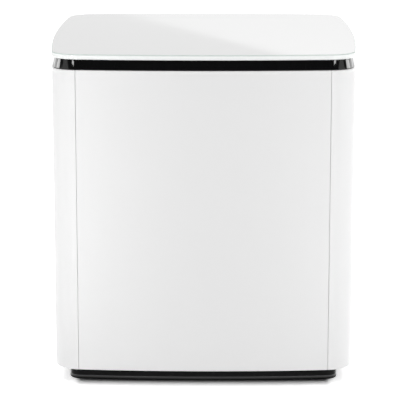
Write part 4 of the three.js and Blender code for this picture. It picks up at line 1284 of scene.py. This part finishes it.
# Frosted acrylic light guide: milky, glossier at its domed tip.
frosted_acrylic = make_finish(
    "frosted_acrylic", tint=(patches(0.8, 3), "D9DEE2", "F2F5F7"),
    dullness=(patches(1), 0.18, 0.3), IOR=1.49, Subsurface_Weight=0.3,
    Subsurface_Radius=(0.001, 0.001, 0.001),
)
light = turned([
    (0, 130.2), (1.6, 130.2), (1.6, 139.2), (1.5, 139.5), (1.1, 139.7), (0.5, 139.79), (0, 139.8),
], 32)
make_piece(
    "status_light_guide", facing_rear(light, LIGHT_X, LIGHT_Z), frosted_acrylic, "light_lens",
    "status_light",
)


def cross_head_screw():
    return facing_rear(turned([
        (0, PLATE_BACK - 6), (1.6, PLATE_BACK - 4.6), (1.8, PLATE_BACK - 4), (1.8, SCREW_HEAD),
        (3.4, SCREW_HEAD), (3.6, SCREW_HEAD + 0.2), *bent(1.6, SCREW_HEAD, 1.8, 10, 90, 6)[1:],
        (0, SCREW_TOP),
    ], 48))


for number, (x, z) in enumerate(PLATE_SCREWS, 1):
    screw = make_piece(
        "plate_screw_%d" % number, cross_head_screw(), zinc_plate, "zinc_steel",
        "panel_screw_%d" % number,
    )
    cut_away(screw, *[
        bar((-across, SCREW_TOP - 1.1, -up), (across, SCREW_TOP + 1, up))
        for across, up in ((2.0, 0.4), (0.4, 2.0))
    ])
    # No two screws stop at the same turn.
    spin = Matrix.Rotation(math.radians(37 * number), 4, "Y")
    screw.data.transform(Matrix.Translation(Vector((x, 0, z)) * MM) @ spin)

# ---------------------------------------------------------------- amplifier
# Behind the plate is one circuit board with its parts standing on it: a heat sink, a mains
# transformer, two capacitors and a shielded radio card.

AMPLIFIER_FACE = 115.7
CAPACITOR_LENGTH = 30.0
SHIELD_EDGE = ((AMPLIFIER_FACE - 1.35) * MM, (AMPLIFIER_FACE - 1.3) * MM)
CORE_EDGE = ((AMPLIFIER_FACE - 30.1) * MM, (AMPLIFIER_FACE - 30.0) * MM)
SLEEVE_EDGE = (
    (AMPLIFIER_FACE - CAPACITOR_LENGTH + 0.7) * MM, (AMPLIFIER_FACE - CAPACITOR_LENGTH + 0.8) * MM,
)


def copper_areas(tree):
    """A pattern: 1 where copper lies under the mask, in areas about 9 mm across."""
    return between(tree, patches(9, 1.0)(tree), 0.0, 1.0, 0.48, 0.52)


# Glass-epoxy board under green solder mask: the copper shows through it as a paler green.
circuit_board = make_finish(
    "green_solder_mask", tint=(copper_areas, "0E3A22", "1C5A36", 0.0, 1.0),
    dullness=(patches(2), 0.22, 0.34), grain=(copper_areas, 0.03),
)
# The radio card is the same, under a tinned shield can that stands further out.
shielded_card = make_finish(
    "tinned_shield_on_green_card", tint=(distance_along("Y"), "B9BCC0", "14492B", *SHIELD_EDGE),
    dullness=(patches(2), 0.25, 0.4), Metallic=(distance_along("Y"), 1.0, 0.0, *SHIELD_EDGE),
)
# Extruded aluminium: satin, with a grain about 0.3 mm across.
extruded_aluminium = make_finish(
    "extruded_aluminium", tint=(patches(10, 3), "A9ABAE", "BEC0C2"),
    dullness=(patches(1.2), 0.34, 0.48), grain=(patches(0.3), 0.01), Metallic=1.0,
)
# The transformer: a dark ferrite core, with yellow polyester tape over its winding.
taped_transformer = make_finish(
    "taped_transformer", tint=(distance_along("Y"), "C9A21A", "2A2B2D", *CORE_EDGE),
    dullness=(patches(3, 3), 0.35, 0.55), grain=(patches(1.5, 3), 0.02),
)
# A capacitor: bare aluminium at the end, the rest in a shrunk plastic sleeve.
sleeved_can = make_finish(
    "sleeved_aluminium_can", tint=(distance_along("Y"), "C5C7C9", "17181D", *SLEEVE_EDGE),
    dullness=(patches(2), 0.25, 0.38), Metallic=(distance_along("Y"), 1.0, 0.0, *SLEEVE_EDGE),
)
dress(circuit_board, "amplifier_board")
dress(shielded_card, "wireless_module")
dress(extruded_aluminium, "amplifier_heat_sink")
dress(taped_transformer, "power_transformer")
dress(sleeved_can, "power_capacitor_1", "power_capacitor_2")
